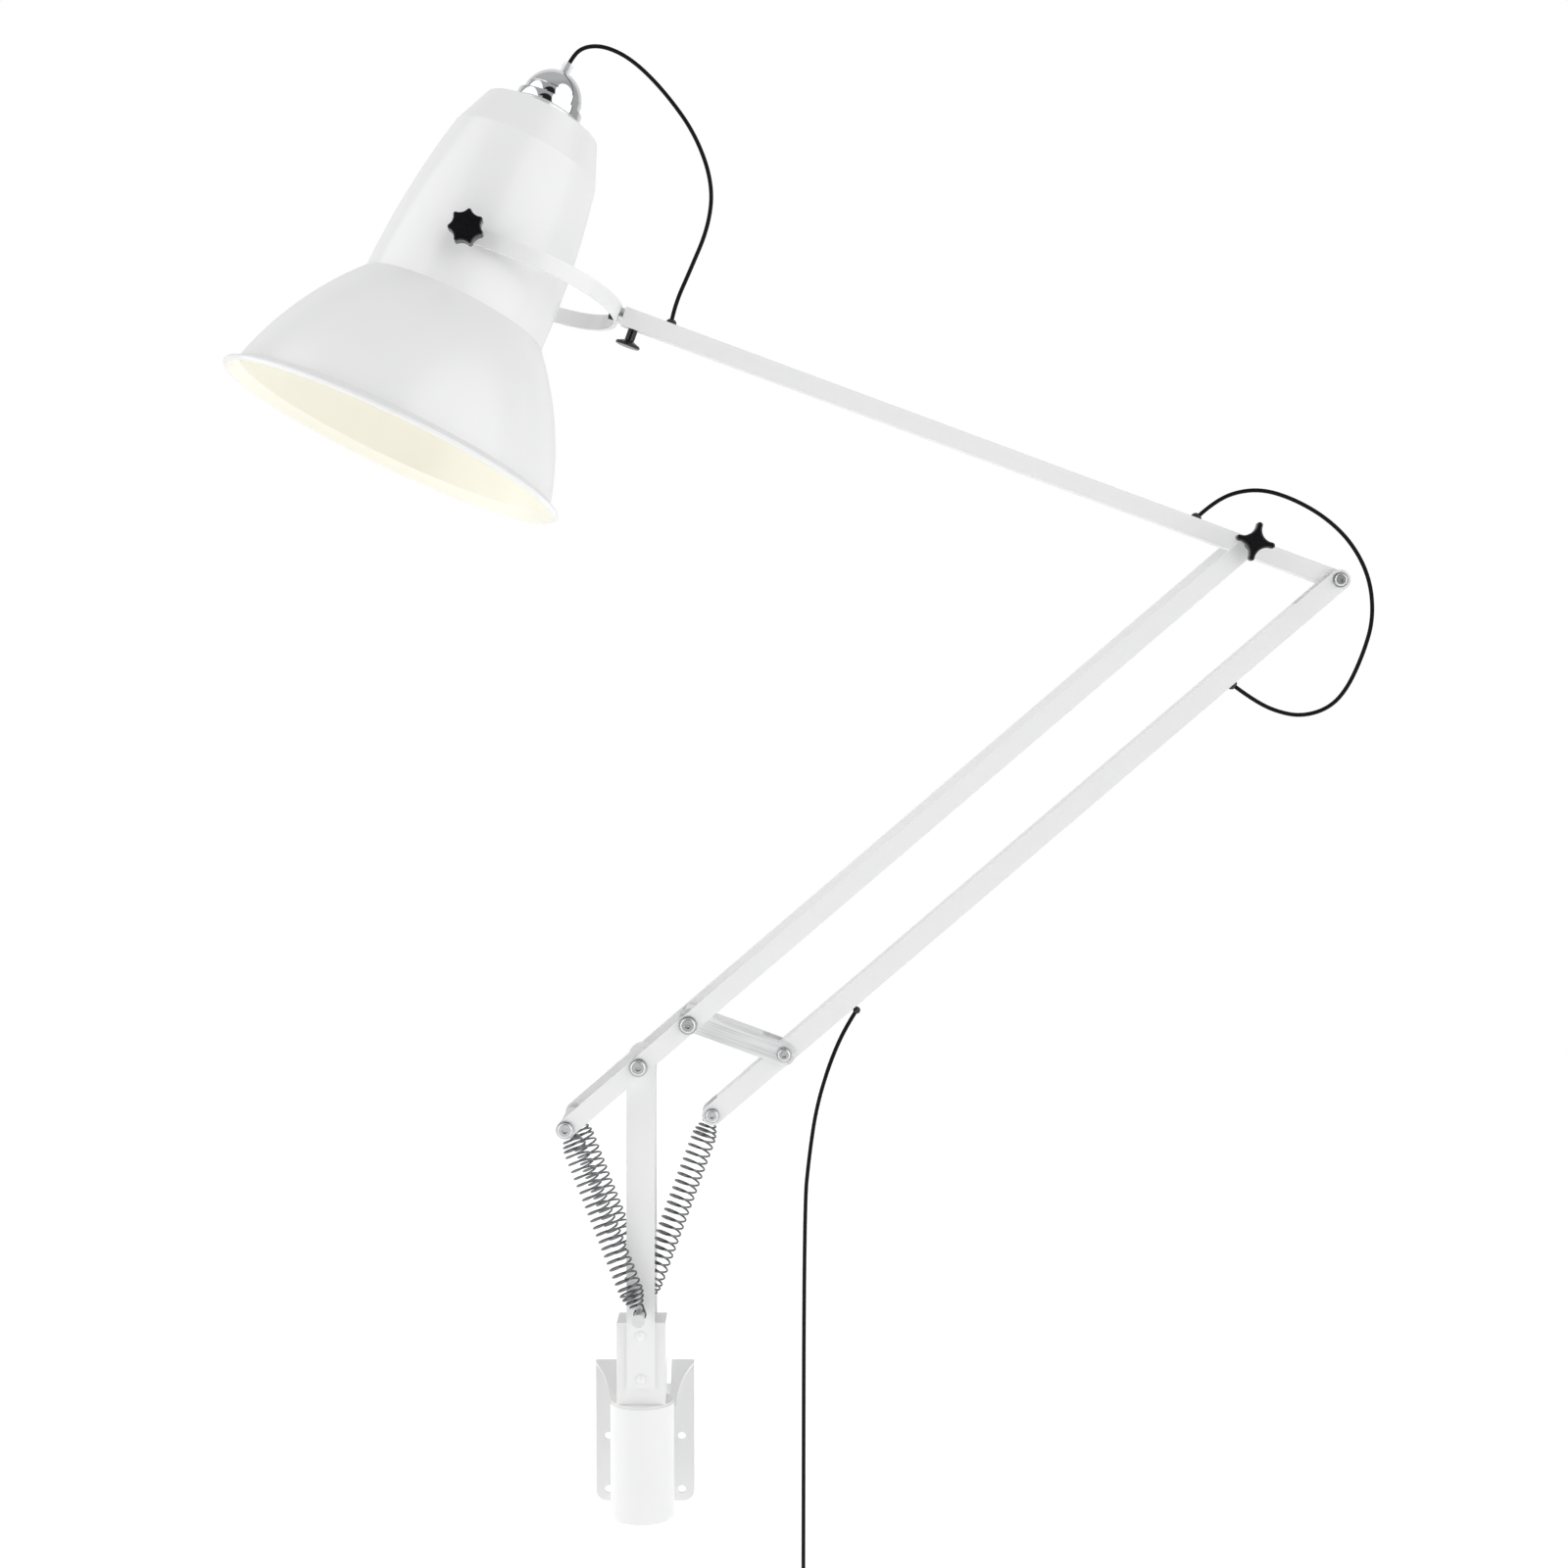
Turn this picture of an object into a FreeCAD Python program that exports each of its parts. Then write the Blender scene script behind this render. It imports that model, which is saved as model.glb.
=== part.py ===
"""Articulating wall lamp: wall bracket, swivelling post, spring balanced arms, yoke and shade.

Frame: millimetres, +Z up, +X along the wall to the right, the wall on the +Y side.  The origin is
the middle of the wall plate's back face.  Both arms work in one plane in front of the wall.
"""
import FreeCAD, Part
import math
import os

import Sketcher

Vector = FreeCAD.Vector
Rotation = FreeCAD.Rotation
Placement = FreeCAD.Placement
ALONG_X = Vector(1, 0, 0)
ALONG_Y = Vector(0, 1, 0)
ALONG_Z = Vector(0, 0, 1)

document = FreeCAD.newDocument("WallLamp")
sheet = document.addObject("Spreadsheet::Sheet", "Sizes")
nodes = []
FULL_TURN = 360
SMALL_TURN = 1e-4
SKETCH_TOLERANCE = 1e-3
LINE_TOLERANCE = 1e-6
WAY_TOLERANCE = 1e-9
CORNER_SHARE = 0.45
GAP_STEP = 2.0
GAP_REACH = 360


# ---------------------------------------------------------------- sizes and their formulas

class Size:
    """A length in millimetres or an angle in degrees, with the sheet formula that gives it."""

    def __init__(self, value, formula):
        self.value = value
        self.formula = formula

    def __add__(self, other):
        other = as_size(other)
        return Size(self.value + other.value, f"({self.formula} + {other.formula})")

    def __sub__(self, other):
        other = as_size(other)
        return Size(self.value - other.value, f"({self.formula} - {other.formula})")

    def __mul__(self, other):
        other = as_size(other)
        return Size(self.value * other.value, f"({self.formula} * {other.formula})")

    def __truediv__(self, other):
        other = as_size(other)
        return Size(self.value / other.value, f"({self.formula} / {other.formula})")

    def __neg__(self):
        return Size(-self.value, f"(0 - {self.formula})")

    __radd__ = __add__
    __rmul__ = __mul__

    def __rsub__(self, other):
        return as_size(other) - self


def as_size(number):
    """Give a plain number the form of a size."""
    if isinstance(number, Size):
        return number
    return Size(float(number), f"({float(number)!r})")


def size(name, value):
    """Put a driving dimension in the sheet and return it."""
    row = size.next_row
    size.next_row += 1
    sheet.set(f"A{row}", name)
    sheet.set(f"B{row}", str(value))
    sheet.setAlias(f"B{row}", name)
    return Size(float(value), f"Sizes.{name}")


size.next_row = 1


def cosine(angle):
    angle = as_size(angle)
    return Size(math.cos(math.radians(angle.value)), f"cos({angle.formula})")


def sine(angle):
    angle = as_size(angle)
    return Size(math.sin(math.radians(angle.value)), f"sin({angle.formula})")


def root(number):
    return Size(math.sqrt(number.value), f"sqrt({number.formula})")


def arctangent(rise, run):
    value = math.degrees(math.atan2(rise.value, run.value))
    return Size(value, f"(atan2({rise.formula}; {run.formula}) / 1 deg)")


def from_point(point, angle, distance, across=0):
    """Go a distance from an X, Z point at an angle above +X, then across to the left of that."""
    east = point[0] + distance * cosine(angle) - across * sine(angle)
    north = point[1] + distance * sine(angle) + across * cosine(angle)
    return (as_size(east), as_size(north))


def vector(x, y, z):
    return Vector(as_size(x).value, as_size(y).value, as_size(z).value)


# ---------------------------------------------------------------- driving dimensions

# wall plate and its screw holes
plate_width = size("plate_width", 137)
plate_height = size("plate_height", 198)
plate_thickness = size("plate_thickness", 6)
plate_corner = size("plate_corner", 15)
notch_width = size("notch_width", 74)
notch_depth = size("notch_depth", 34)
screw_hole = size("screw_hole", 11)
screw_spacing_across = size("screw_spacing_across", 102)
screw_spacing_up = size("screw_spacing_up", 75)
screw_row_height = size("screw_row_height", 16)

# socket that the post turns in
wall_reach = size("wall_reach", 78)
socket_outer = size("socket_outer", 87)
socket_wall = size("socket_wall", 8)
socket_length = size("socket_length", 159)
socket_lift = size("socket_lift", 2)
rib_thickness = size("rib_thickness", 12)
web_thickness = size("web_thickness", 4)
web_reach = size("web_reach", 45)
web_foot = size("web_foot", 14)
web_landing = size("web_landing", 3)
web_step = size("web_step", 7)
web_curve = size("web_curve", 110)
flange_width = size("flange_width", 84)
flange_thickness = size("flange_thickness", 3)
bush_length = size("bush_length", 25)
cap_thickness = size("cap_thickness", 4)
spindle = size("spindle", 50)
turning_gap = size("turning_gap", 0.05)
press_gap = size("press_gap", 0.02)
face_gap = size("face_gap", 0.2)

# post
block_width = size("block_width", 66)
block_depth = size("block_depth", 57)
block_height = size("block_height", 112)
cheek_width = size("cheek_width", 38)
cheek_thickness = size("cheek_thickness", 5)
cheek_overlap = size("cheek_overlap", 89)
pivot_rise = size("pivot_rise", 354.5)
pin_rise = size("pin_rise", 17.4)
cheek_screw_head = size("cheek_screw_head", 12)
cheek_screw_rise = size("cheek_screw_rise", 4)
cheek_screw_upper = size("cheek_screw_upper", 16.4)
cheek_screw_spacing = size("cheek_screw_spacing", 59)

# pins, bolts and spacers
bolt = size("bolt", 12)
small_pin = size("small_pin", 10)
bolt_head = size("bolt_head", 20)
bolt_head_rise = size("bolt_head_rise", 7)
bolt_head_edge = size("bolt_head_edge", 2)
bolt_socket = size("bolt_socket", 8)
bolt_socket_depth = size("bolt_socket_depth", 4)
washer = size("washer", 25)
washer_thickness = size("washer_thickness", 2)
spacer = size("spacer", 21)
base_pin = size("base_pin", 14)
base_pin_length = size("base_pin_length", 180)
base_pin_disc = size("base_pin_disc", 18)
base_pin_disc_thickness = size("base_pin_disc_thickness", 3)

# lower arm and parallel link
arm_angle = size("arm_angle", 40.6)
lower_arm_length = size("lower_arm_length", 1069)
arm_tail = size("arm_tail", 128)
link_place = size("link_place", 87)
bar_depth = size("bar_depth", 25)
bar_thickness = size("bar_thickness", 5)
bar_spacing = size("bar_spacing", 142)
upper_slope = size("upper_slope", 20.2)
link_length = size("link_length", 136)
link_width = size("link_width", 48)
link_depth = size("link_depth", 30)
link_wall = size("link_wall", 3.5)
link_web_length = size("link_web_length", 100)
rear_bar_width = size("rear_bar_width", 40)
rear_bar_depth = size("rear_bar_depth", 28)
rear_bar_wall = size("rear_bar_wall", 2.5)
tail_fork = size("tail_fork", 20)
elbow_fork = size("elbow_fork", 64)
open_pivot_gap = size("open_pivot_gap", 0.3)

# upper arm
upper_arm_reach = size("upper_arm_reach", 888)
upper_arm_side = size("upper_arm_side", 25)
upper_arm_wall = size("upper_arm_wall", 2.5)
boss_length = size("boss_length", 60)
swivel_pin = size("swivel_pin", 14)
swivel_collar = size("swivel_collar", 22)
swivel_thread = size("swivel_thread", 10)
swivel_nut_width = size("swivel_nut_width", 20)
swivel_nut_thickness = size("swivel_nut_thickness", 8)
thumb_place = size("thumb_place", 18)
thumb_knob = size("thumb_knob", 34)
thumb_knob_thickness = size("thumb_knob_thickness", 8.6)
thumb_knob_rim = size("thumb_knob_rim", 5)
thumb_stem = size("thumb_stem", 13)
thumb_stem_length = size("thumb_stem_length", 14.8)
thumb_screw = size("thumb_screw", 8)

# yoke
crown_gap = size("crown_gap", 5.5)
yoke_radius = size("yoke_radius", 133)
yoke_leg = size("yoke_leg", 70)
yoke_width = size("yoke_width", 22)
yoke_thickness = size("yoke_thickness", 5)
swivel_angle = size("swivel_angle", 7)

# shade, as radii and the rises from its rim to its top
shade_tilt = size("shade_tilt", 3.94)
shade_wall = size("shade_wall", 2)
bead_radius = size("bead_radius", 3.5)
rim_radius = size("rim_radius", 241.5)
rim_flare = size("rim_flare", 15.5)
skirt_radius = rim_radius - rim_flare
skirt_height = size("skirt_height", 14)
skirt_curve = size("skirt_curve", 452)
waist_radius = size("waist_radius", 128)
waist_rise = size("waist_rise", 186)
waist_height = skirt_height + waist_rise
shade_pivot_rise = size("shade_pivot_rise", 72)
shade_pivot_height = waist_height + shade_pivot_rise
body_curve = size("body_curve", 1240)
shoulder_radius = size("shoulder_radius", 103)
shoulder_rise = size("shoulder_rise", 232)
shoulder_height = waist_height + shoulder_rise
crown_radius = size("crown_radius", 81)
crown_turn = size("crown_turn", 45)
crown_rise = size("crown_rise", 54)
crown_height = shoulder_height + crown_rise
top_radius = size("top_radius", 47)
top_rise = size("top_rise", 14)
top_height = crown_height + top_rise
wire_hole = size("wire_hole", 40)

# cap, gland and holder on top of the shade
cap_flange_radius = size("cap_flange_radius", 46)
cap_flange_thickness = size("cap_flange_thickness", 4)
cap_radius = size("cap_radius", 40)
cap_seam_radius = size("cap_seam_radius", 33)
cap_side_height = size("cap_side_height", 22)
cap_height = size("cap_height", 50)
gland_radius = size("gland_radius", 7.6)
gland_edge = size("gland_edge", 2.25)
gland_height = size("gland_height", 14)
holder_radius = size("holder_radius", 20)
holder_length = size("holder_length", 62)
holder_bore_radius = size("holder_bore_radius", 13.5)

# knobs
shade_stud = size("shade_stud", 8)
stud_head = size("stud_head", 18)
stud_head_thickness = size("stud_head_thickness", 3)
stud_head_gap = size("stud_head_gap", 0.75)
shade_washer = size("shade_washer", 26)
shade_knob = size("shade_knob", 47)
shade_knob_lobes = size("shade_knob_lobes", 7)
shade_knob_tip = size("shade_knob_tip", 3.2)
shade_knob_waist = size("shade_knob_waist", 19)
shade_knob_edge = size("shade_knob_edge", 2)
shade_knob_grip = size("shade_knob_grip", 18)
shade_knob_hub = size("shade_knob_hub", 26)
shade_knob_reach = size("shade_knob_reach", 165)
elbow_knob = size("elbow_knob", 52)
elbow_knob_lobes = size("elbow_knob_lobes", 4)
elbow_knob_tip = size("elbow_knob_tip", 4)
elbow_knob_waist = size("elbow_knob_waist", 12.5)
elbow_knob_edge = size("elbow_knob_edge", 2.5)
elbow_knob_grip = size("elbow_knob_grip", 14)
elbow_knob_hub = size("elbow_knob_hub", 24)
elbow_knob_reach = size("elbow_knob_reach", 98)
elbow_knob_turn = size("elbow_knob_turn", 14)

# springs
spring_width = size("spring_width", 35)
spring_wire = size("spring_wire", 2.8)
spring_place = size("spring_place", 52)
spring_turns = size("spring_turns", 28)
spring_taper_turns = size("spring_taper_turns", 4.5)
spring_seat_gap = size("spring_seat_gap", 0.2)
spring_side_gap = size("spring_side_gap", 0.6)
eye_sweep = size("eye_sweep", 250)
eye_neck = size("eye_neck", 6)
eye_bend = size("eye_bend", 5)

# mains and lamp cord
cord = size("cord", 5.6)
boot_radius = size("boot_radius", 7.5)
boot_rise = size("boot_rise", 6)
mains_ring = size("mains_ring", 16)
mains_ring_rise = size("mains_ring_rise", 1.5)
mains_ball = size("mains_ball", 10)
mains_ball_rise = size("mains_ball_rise", 4)
mains_ball_gap = size("mains_ball_gap", 0.3)
mains_exit_place = size("mains_exit_place", 240)
elbow_entry_place = size("elbow_entry_place", 912)
elbow_exit_place = size("elbow_exit_place", 71.9)
shade_exit_place = size("shade_exit_place", 825)
coil_turns = size("coil_turns", 6)
coil_inner_radius = size("coil_inner_radius", 21.7)
coil_pitch = size("coil_pitch", 6.2)
coil_crossing = size("coil_crossing", 0.5)
coil_lead = size("coil_lead", 50)
tie_width = size("tie_width", 10)
tie_thickness = size("tie_thickness", 1.2)
plug_width = size("plug_width", 26)
plug_depth = size("plug_depth", 14)
plug_length = size("plug_length", 36)
plug_shoulder = size("plug_shoulder", 12)
plug_pin = size("plug_pin", 4)
plug_pin_length = size("plug_pin_length", 19)
plug_pin_spacing = size("plug_pin_spacing", 19)
document.recompute()

# ---------------------------------------------------------------- places worked out from them

plate_bottom = -plate_height / 2
socket_bottom = plate_bottom + socket_lift
socket_rim = socket_bottom + socket_length
socket_bore = socket_outer - 2 * socket_wall
block_bottom = socket_rim + flange_thickness + face_gap
block_top = block_bottom + block_height
pivot = (as_size(0), block_top + pivot_rise)
base_pin_point = (as_size(0), block_top + pin_rise)
tail_point = from_point(pivot, arm_angle, -arm_tail)
link_point = from_point(pivot, arm_angle, link_place)
elbow_point = from_point(pivot, arm_angle, lower_arm_length)
rear_link_point = from_point(link_point, -upper_slope, link_length)
rear_elbow_point = from_point(elbow_point, -upper_slope, link_length)
rear_tail_point = from_point(rear_link_point, arm_angle, -arm_tail)
rear_bar_length = lower_arm_length - link_place + arm_tail
bar_outer = bar_spacing / 2 + bar_thickness
head_face = bar_outer + washer_thickness + bolt_head_rise
cheek_outer = block_depth / 2 + cheek_thickness
crown_place = upper_arm_reach + crown_gap + yoke_thickness / 2
crown_point = from_point(elbow_point, -upper_slope, -crown_place)
yoke_reach = yoke_radius + yoke_leg
yoke_inner = yoke_radius - yoke_thickness / 2
yoke_outer = yoke_radius + yoke_thickness / 2
eye_radius = bolt / 2 + spring_seat_gap + spring_wire / 2
arm_plane = -wall_reach


# ---------------------------------------------------------------- ways of making a piece

class Corner:
    """A corner of an outline, and the centre of the arc that leads to it if one does."""

    def __init__(self, point, centre=None, clockwise=False):
        self.across = as_size(point[0])
        self.up = as_size(point[1])
        self.centre = centre
        self.clockwise = clockwise

    def vector(self):
        return Vector(self.across.value, self.up.value, 0)


def bend(point, centre, clockwise=False):
    """The corner at the end of an arc about a centre."""
    return Corner(point, (as_size(centre[0]), as_size(centre[1])), clockwise)


def arc_centre(start, end, radius):
    """Centre of a left-turning arc of a radius between two corners."""
    start = (as_size(start[0]), as_size(start[1]))
    end = (as_size(end[0]), as_size(end[1]))
    step = (end[0] - start[0], end[1] - start[1])
    chord = root(step[0] * step[0] + step[1] * step[1])
    reach = root(radius * radius - chord * chord / 4) / chord
    across = (start[0] + end[0]) / 2 - step[1] * reach
    up = (start[1] + end[1]) / 2 + step[0] * reach
    return (across, up)


def fix(sketch, kind, geometry, point, distance):
    """Hold a sketch point at a distance from the sketch's origin."""
    number = sketch.addConstraint(Sketcher.Constraint(kind, -1, 1, geometry, point, distance.value))
    sketch.setExpression(f"Constraints[{number}]", distance.formula)


def outline(body, plane, corners, holes=()):
    """Sketch an outline, and round holes as (across, up, diameter), on one of a body's planes."""
    sketch = body.newObject("Sketcher::SketchObject", "Outline")
    roles = {feature.Role: feature for feature in body.Origin.OriginFeatures}
    sketch.AttachmentSupport = [(roles[plane], "")]
    sketch.MapMode = "FlatFace"
    corners = [corner if isinstance(corner, Corner) else Corner(corner) for corner in corners]
    finishes = []
    for number, corner in enumerate(corners):
        start = corners[number - 1].vector()
        end = corner.vector()
        if corner.centre is None:
            sketch.addGeometry(Part.LineSegment(start, end))
            finishes.append(2)
            continue
        centre = Vector(corner.centre[0].value, corner.centre[1].value, 0)
        circle = Part.Circle(centre, ALONG_Z, (start - centre).Length)
        first = math.atan2(start.y - centre.y, start.x - centre.x)
        last = math.atan2(end.y - centre.y, end.x - centre.x)
        if corner.clockwise:
            first, last = last, first
        sketch.addGeometry(Part.ArcOfCircle(circle, first, last))
        finishes.append(1 if corner.clockwise else 2)
    for number, corner in enumerate(corners):
        following = (number + 1) % len(corners)
        start_of_next = 3 - finishes[following]
        joint = Sketcher.Constraint("Coincident", number, finishes[number], following, start_of_next)
        sketch.addConstraint(joint)
    for number, corner in enumerate(corners):
        fix(sketch, "DistanceX", number, finishes[number], corner.across)
        fix(sketch, "DistanceY", number, finishes[number], corner.up)
        if corner.centre is not None:
            chord = corner.vector() - corners[number - 1].vector()
            if abs(chord.x) > abs(chord.y):
                fix(sketch, "DistanceY", number, 3, corner.centre[1])
            else:
                fix(sketch, "DistanceX", number, 3, corner.centre[0])
    for across, up, diameter in holes:
        across, up, diameter = as_size(across), as_size(up), as_size(diameter)
        circle = Part.Circle(Vector(across.value, up.value, 0), ALONG_Z, diameter.value / 2)
        number = sketch.addGeometry(circle)
        fix(sketch, "DistanceX", number, 3, across)
        fix(sketch, "DistanceY", number, 3, up)
        hold = sketch.addConstraint(Sketcher.Constraint("Diameter", number, diameter.value))
        sketch.setExpression(f"Constraints[{hold}]", diameter.formula)
    return sketch


def new_body(label):
    body = document.addObject("PartDesign::Body", label)
    body.Label = label
    return body


def pad(body, sketch, thickness, symmetric=False):
    """Thicken a sketch, to one side or equally to both."""
    feature = body.newObject("PartDesign::Pad", "Thickness")
    feature.Profile = sketch
    feature.setExpression("Length", as_size(thickness).formula)
    if symmetric:
        feature.SideType = "Symmetric"
    return feature


def plate(label, plane, corners, thickness, holes=(), symmetric=False):
    """A piece of one thickness cut to an outline."""
    body = new_body(label)
    pad(body, outline(body, plane, corners, holes), thickness, symmetric)
    return body


def turned(label, corners):
    """A piece turned about its own Z axis, from corners given as (radius, height)."""
    body = new_body(label)
    feature = body.newObject("PartDesign::Revolution", "Turning")
    sketch = outline(body, "XZ_Plane", corners)
    feature.Profile = sketch
    feature.ReferenceAxis = (sketch, ["V_Axis"])
    feature.Angle = FULL_TURN
    return body


def tube_corners(bore, outer, bottom, top):
    """Corners of a plain tube or bush, from its two diameters."""
    inner = as_size(bore) / 2
    outside = as_size(outer) / 2
    return [(inner, bottom), (outside, bottom), (outside, top), (inner, top)]


def rounded_ends(left, right, radius):
    """Outline with a round end about each of two points on the X axis."""
    return [bend((left, -radius), (left, 0)), (right, -radius),
            bend((right, radius), (right, 0)), (left, radius)]


def box(label, x, y, z):
    """A box between two places along each axis."""
    solid = document.addObject("Part::Box", label)
    for side, (low, high) in zip(("Length", "Width", "Height"), (x, y, z)):
        solid.setExpression(side, (as_size(high) - as_size(low)).formula)
    place(solid, (x[0], y[0], z[0]))
    return solid


def round_bar(label, diameter, length):
    """A plain round bar up its own Z axis."""
    bar = document.addObject("Part::Cylinder", label)
    bar.setExpression("Radius", (as_size(diameter) / 2).formula)
    bar.setExpression("Height", as_size(length).formula)
    return bar


def place(piece, point, axis=ALONG_Z, angle=0):
    """Place a piece by a point and one turn, both bound to the sheet."""
    point = [as_size(number) for number in point]
    angle = as_size(angle)
    piece.Placement = Placement(vector(*point), Rotation(axis, angle.value))
    for name, number in zip("xyz", point):
        piece.setExpression(f"Placement.Base.{name}", number.formula)
    if angle.value:
        piece.setExpression("Placement.Rotation.Angle", angle.formula)
    return piece


def place_across(piece, point, y=0, away=True):
    """Lay a turned piece along Y at an X, Z point, its start at y from the arms' plane."""
    return place(piece, (point[0], arm_plane + y, point[1]), ALONG_X, -90 if away else 90)


def cut(label, base, *tools):
    """Take tools out of a piece, one after another."""
    for number, tool in enumerate(tools):
        result = document.addObject("Part::Cut", f"{label}_{number}")
        result.Base = base
        result.Tool = tool
        base = result
    return base


def group(label, pieces):
    """Several equal pieces that make up one sub-part."""
    result = document.addObject("Part::Compound", label)
    result.Links = list(pieces)
    return result


def computed(label, shape, placement=None):
    """A sub-part whose shape is worked out by formula."""
    feature = document.addObject("Part::Feature", label)
    feature.Shape = shape
    if placement is not None:
        feature.Placement = placement
    return feature


def keep(label, piece):
    """Name a finished piece as one of the lamp's sub-parts."""
    piece.Label = label
    nodes.append(piece)
    return piece


# ---------------------------------------------------------------- tubes along a path

def arc_from(start, tangent, end):
    """Arc from a start and its direction to an end, or a line if they are in line."""
    chord = end - start
    half = chord.Length / 2
    along = Vector(chord).normalize()
    side = tangent - along * tangent.dot(along)
    if side.Length < LINE_TOLERANCE:
        return Part.LineSegment(start, end).toShape()
    angle = math.acos(max(-1.0, min(1.0, tangent.dot(along))))
    middle = (start + end) / 2 + side.normalize() * (half * math.tan(angle / 2))
    return Part.Arc(start, middle, end).toShape()


def double_arc(start, start_way, end, end_way):
    """Two arcs that join two points and their directions smoothly."""
    chord = end - start
    total = start_way + end_way
    spread = 2 * (1 - start_way.dot(end_way))
    lean = chord.dot(total)
    if spread < WAY_TOLERANCE:
        reach = chord.dot(chord) / (2 * lean)
    else:
        reach = (math.sqrt(lean * lean + spread * chord.dot(chord)) - lean) / spread
    middle = (start + end + (start_way - end_way) * reach) / 2
    first = arc_from(start, start_way, middle)
    back = arc_from(end, end_way * -1, middle)
    backward = back.Curve
    if isinstance(backward, Part.Line):
        return [first, Part.LineSegment(middle, end).toShape()]
    halfway = back.valueAt((back.FirstParameter + back.LastParameter) / 2)
    return [first, Part.Arc(middle, halfway, end).toShape()]


def smooth_path(points, ways):
    """Edges of arcs through points with the direction of travel at each."""
    edges = []
    for number in range(len(points) - 1):
        edges += double_arc(points[number], ways[number], points[number + 1], ways[number + 1])
    return edges


def sweep_round(edges, diameter):
    """Solid round tube along a path of edges."""
    path = Part.Wire(edges)
    first = path.Edges[0]
    start = first.valueAt(first.FirstParameter)
    way = first.tangentAt(first.FirstParameter)
    section = Part.Wire([Part.Circle(start, way, diameter / 2).toShape()])
    return path.makePipeShell([section], True, False)


def least_gap(edges, diameter):
    """Least clear distance between stretches of a wound tube, measured on points."""
    points = []
    for edge in edges:
        count = max(2, int(edge.Length / GAP_STEP))
        points += edge.discretize(count + 1)[:-1]
    apart = int(3 * diameter / GAP_STEP) + 2
    window = int(GAP_REACH / GAP_STEP)
    least = math.inf
    for number, point in enumerate(points):
        for other in points[number + apart:number + window]:
            least = min(least, point.distanceToPoint(other))
    return least - diameter


def cord_edges(label, points):
    """Straight runs joined by tangent arcs, as large as the runs beside each corner allow."""
    runs = [points[i + 1] - points[i] for i in range(len(points) - 1)]
    edges = []
    radii = []
    start = points[0]
    for number in range(1, len(points) - 1):
        arriving = runs[number - 1]
        leaving = runs[number]
        turn = arriving.getAngle(leaving)
        radius = CORNER_SHARE * min(arriving.Length, leaving.Length) / math.tan(turn / 2)
        back = radius * math.tan(turn / 2)
        before = points[number] - Vector(arriving).normalize() * back
        after = points[number] + Vector(leaving).normalize() * back
        inward = (Vector(leaving).normalize() - Vector(arriving).normalize()).normalize()
        depth = radius / math.cos(turn / 2) - radius
        edges.append(Part.LineSegment(start, before).toShape())
        edges.append(Part.Arc(before, points[number] + inward * depth, after).toShape())
        radii.append(radius)
        start = after
    edges.append(Part.LineSegment(start, points[-1]).toShape())
    print(label, "radii", " ".join(f"{radius:.0f}" for radius in radii),
          "runs", " ".join(f"{run.Length:.0f}" for run in runs))
    return edges


def cord_piece(label, points):
    """Round cord along chosen points."""
    edges = cord_edges(label, points)
    solid = sweep_round(edges, cord.value)
    expected = math.pi * cord.value ** 2 / 4 * sum(edge.Length for edge in edges)
    print(label, "volume against section times length", round(solid.Volume / expected, 4))
    return keep(label, computed(label, solid))


# ---------------------------------------------------------------- wall bracket

def make_wall_plate():
    """Plate with a notch for the turning post, round lower corners and four open screw holes."""
    half = plate_width / 2
    top = plate_height / 2
    notch = notch_width / 2
    floor = top - notch_depth
    turn = half - plate_corner
    rise = plate_bottom + plate_corner
    corners = [bend((-turn, plate_bottom), (-turn, rise)), (turn, plate_bottom),
               bend((half, rise), (turn, rise)), (half, top), (notch, top), (notch, floor),
               (-notch, floor), (-notch, top), (-half, top), (-half, rise)]
    low_row = plate_bottom + screw_row_height
    holes = [(side * screw_spacing_across / 2, low_row + row * screw_spacing_up, screw_hole)
             for row in (0, 1) for side in (-1, 1)]
    keep("wall_plate", plate("wall_plate", "XZ_Plane", corners, plate_thickness, holes))


def make_bracket_web():
    """Two sloping ears that run from the plate's top corners down to the socket's sides."""
    fall = plate_height / 2 - socket_rim
    slope = arctangent(fall, web_reach)
    length = root(fall * fall + web_reach * web_reach)
    top = plate_width / 2
    inside = notch_width / 2
    foot = -length - web_foot
    ear_root = (socket_outer / 2 + web_landing, foot)
    centre = arc_centre((top, 0), ear_root, web_curve)
    corners = [bend((top, 0), centre, clockwise=True), (top, web_foot), (inside, web_foot),
               (inside, -length), (inside - web_step, -length), (inside - web_step, foot), ear_root]
    ear = plate("ear", "XY_Plane", corners, web_thickness)
    base = plate_height / 2 - web_thickness / cosine(slope)
    place(ear, (0, -plate_thickness, base), ALONG_X, slope)
    other = document.addObject("Part::Mirroring", "other_ear")
    other.Source = ear
    other.Normal = ALONG_X
    socket_space = round_bar("web_socket_space", socket_outer, plate_height)
    place(socket_space, (0, arm_plane, socket_bottom))
    wall_space = box("web_wall_space", (-plate_width, plate_width),
                     (-plate_thickness, plate_width), (plate_bottom, plate_height))
    trimmed = cut("web", group("ears", (ear, other)), socket_space, wall_space)
    keep("bracket_web", trimmed)


def make_bracket_rib():
    """Upright rib between the socket and the plate."""
    rib = box("rib", (-rib_thickness / 2, rib_thickness / 2), (arm_plane, -plate_thickness),
              (socket_bottom, socket_rim - socket_lift))
    space = round_bar("rib_socket_space", socket_outer, plate_height)
    place(space, (0, arm_plane, socket_bottom - socket_lift))
    keep("bracket_rib", cut("rib_fitted", rib, space))


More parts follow.
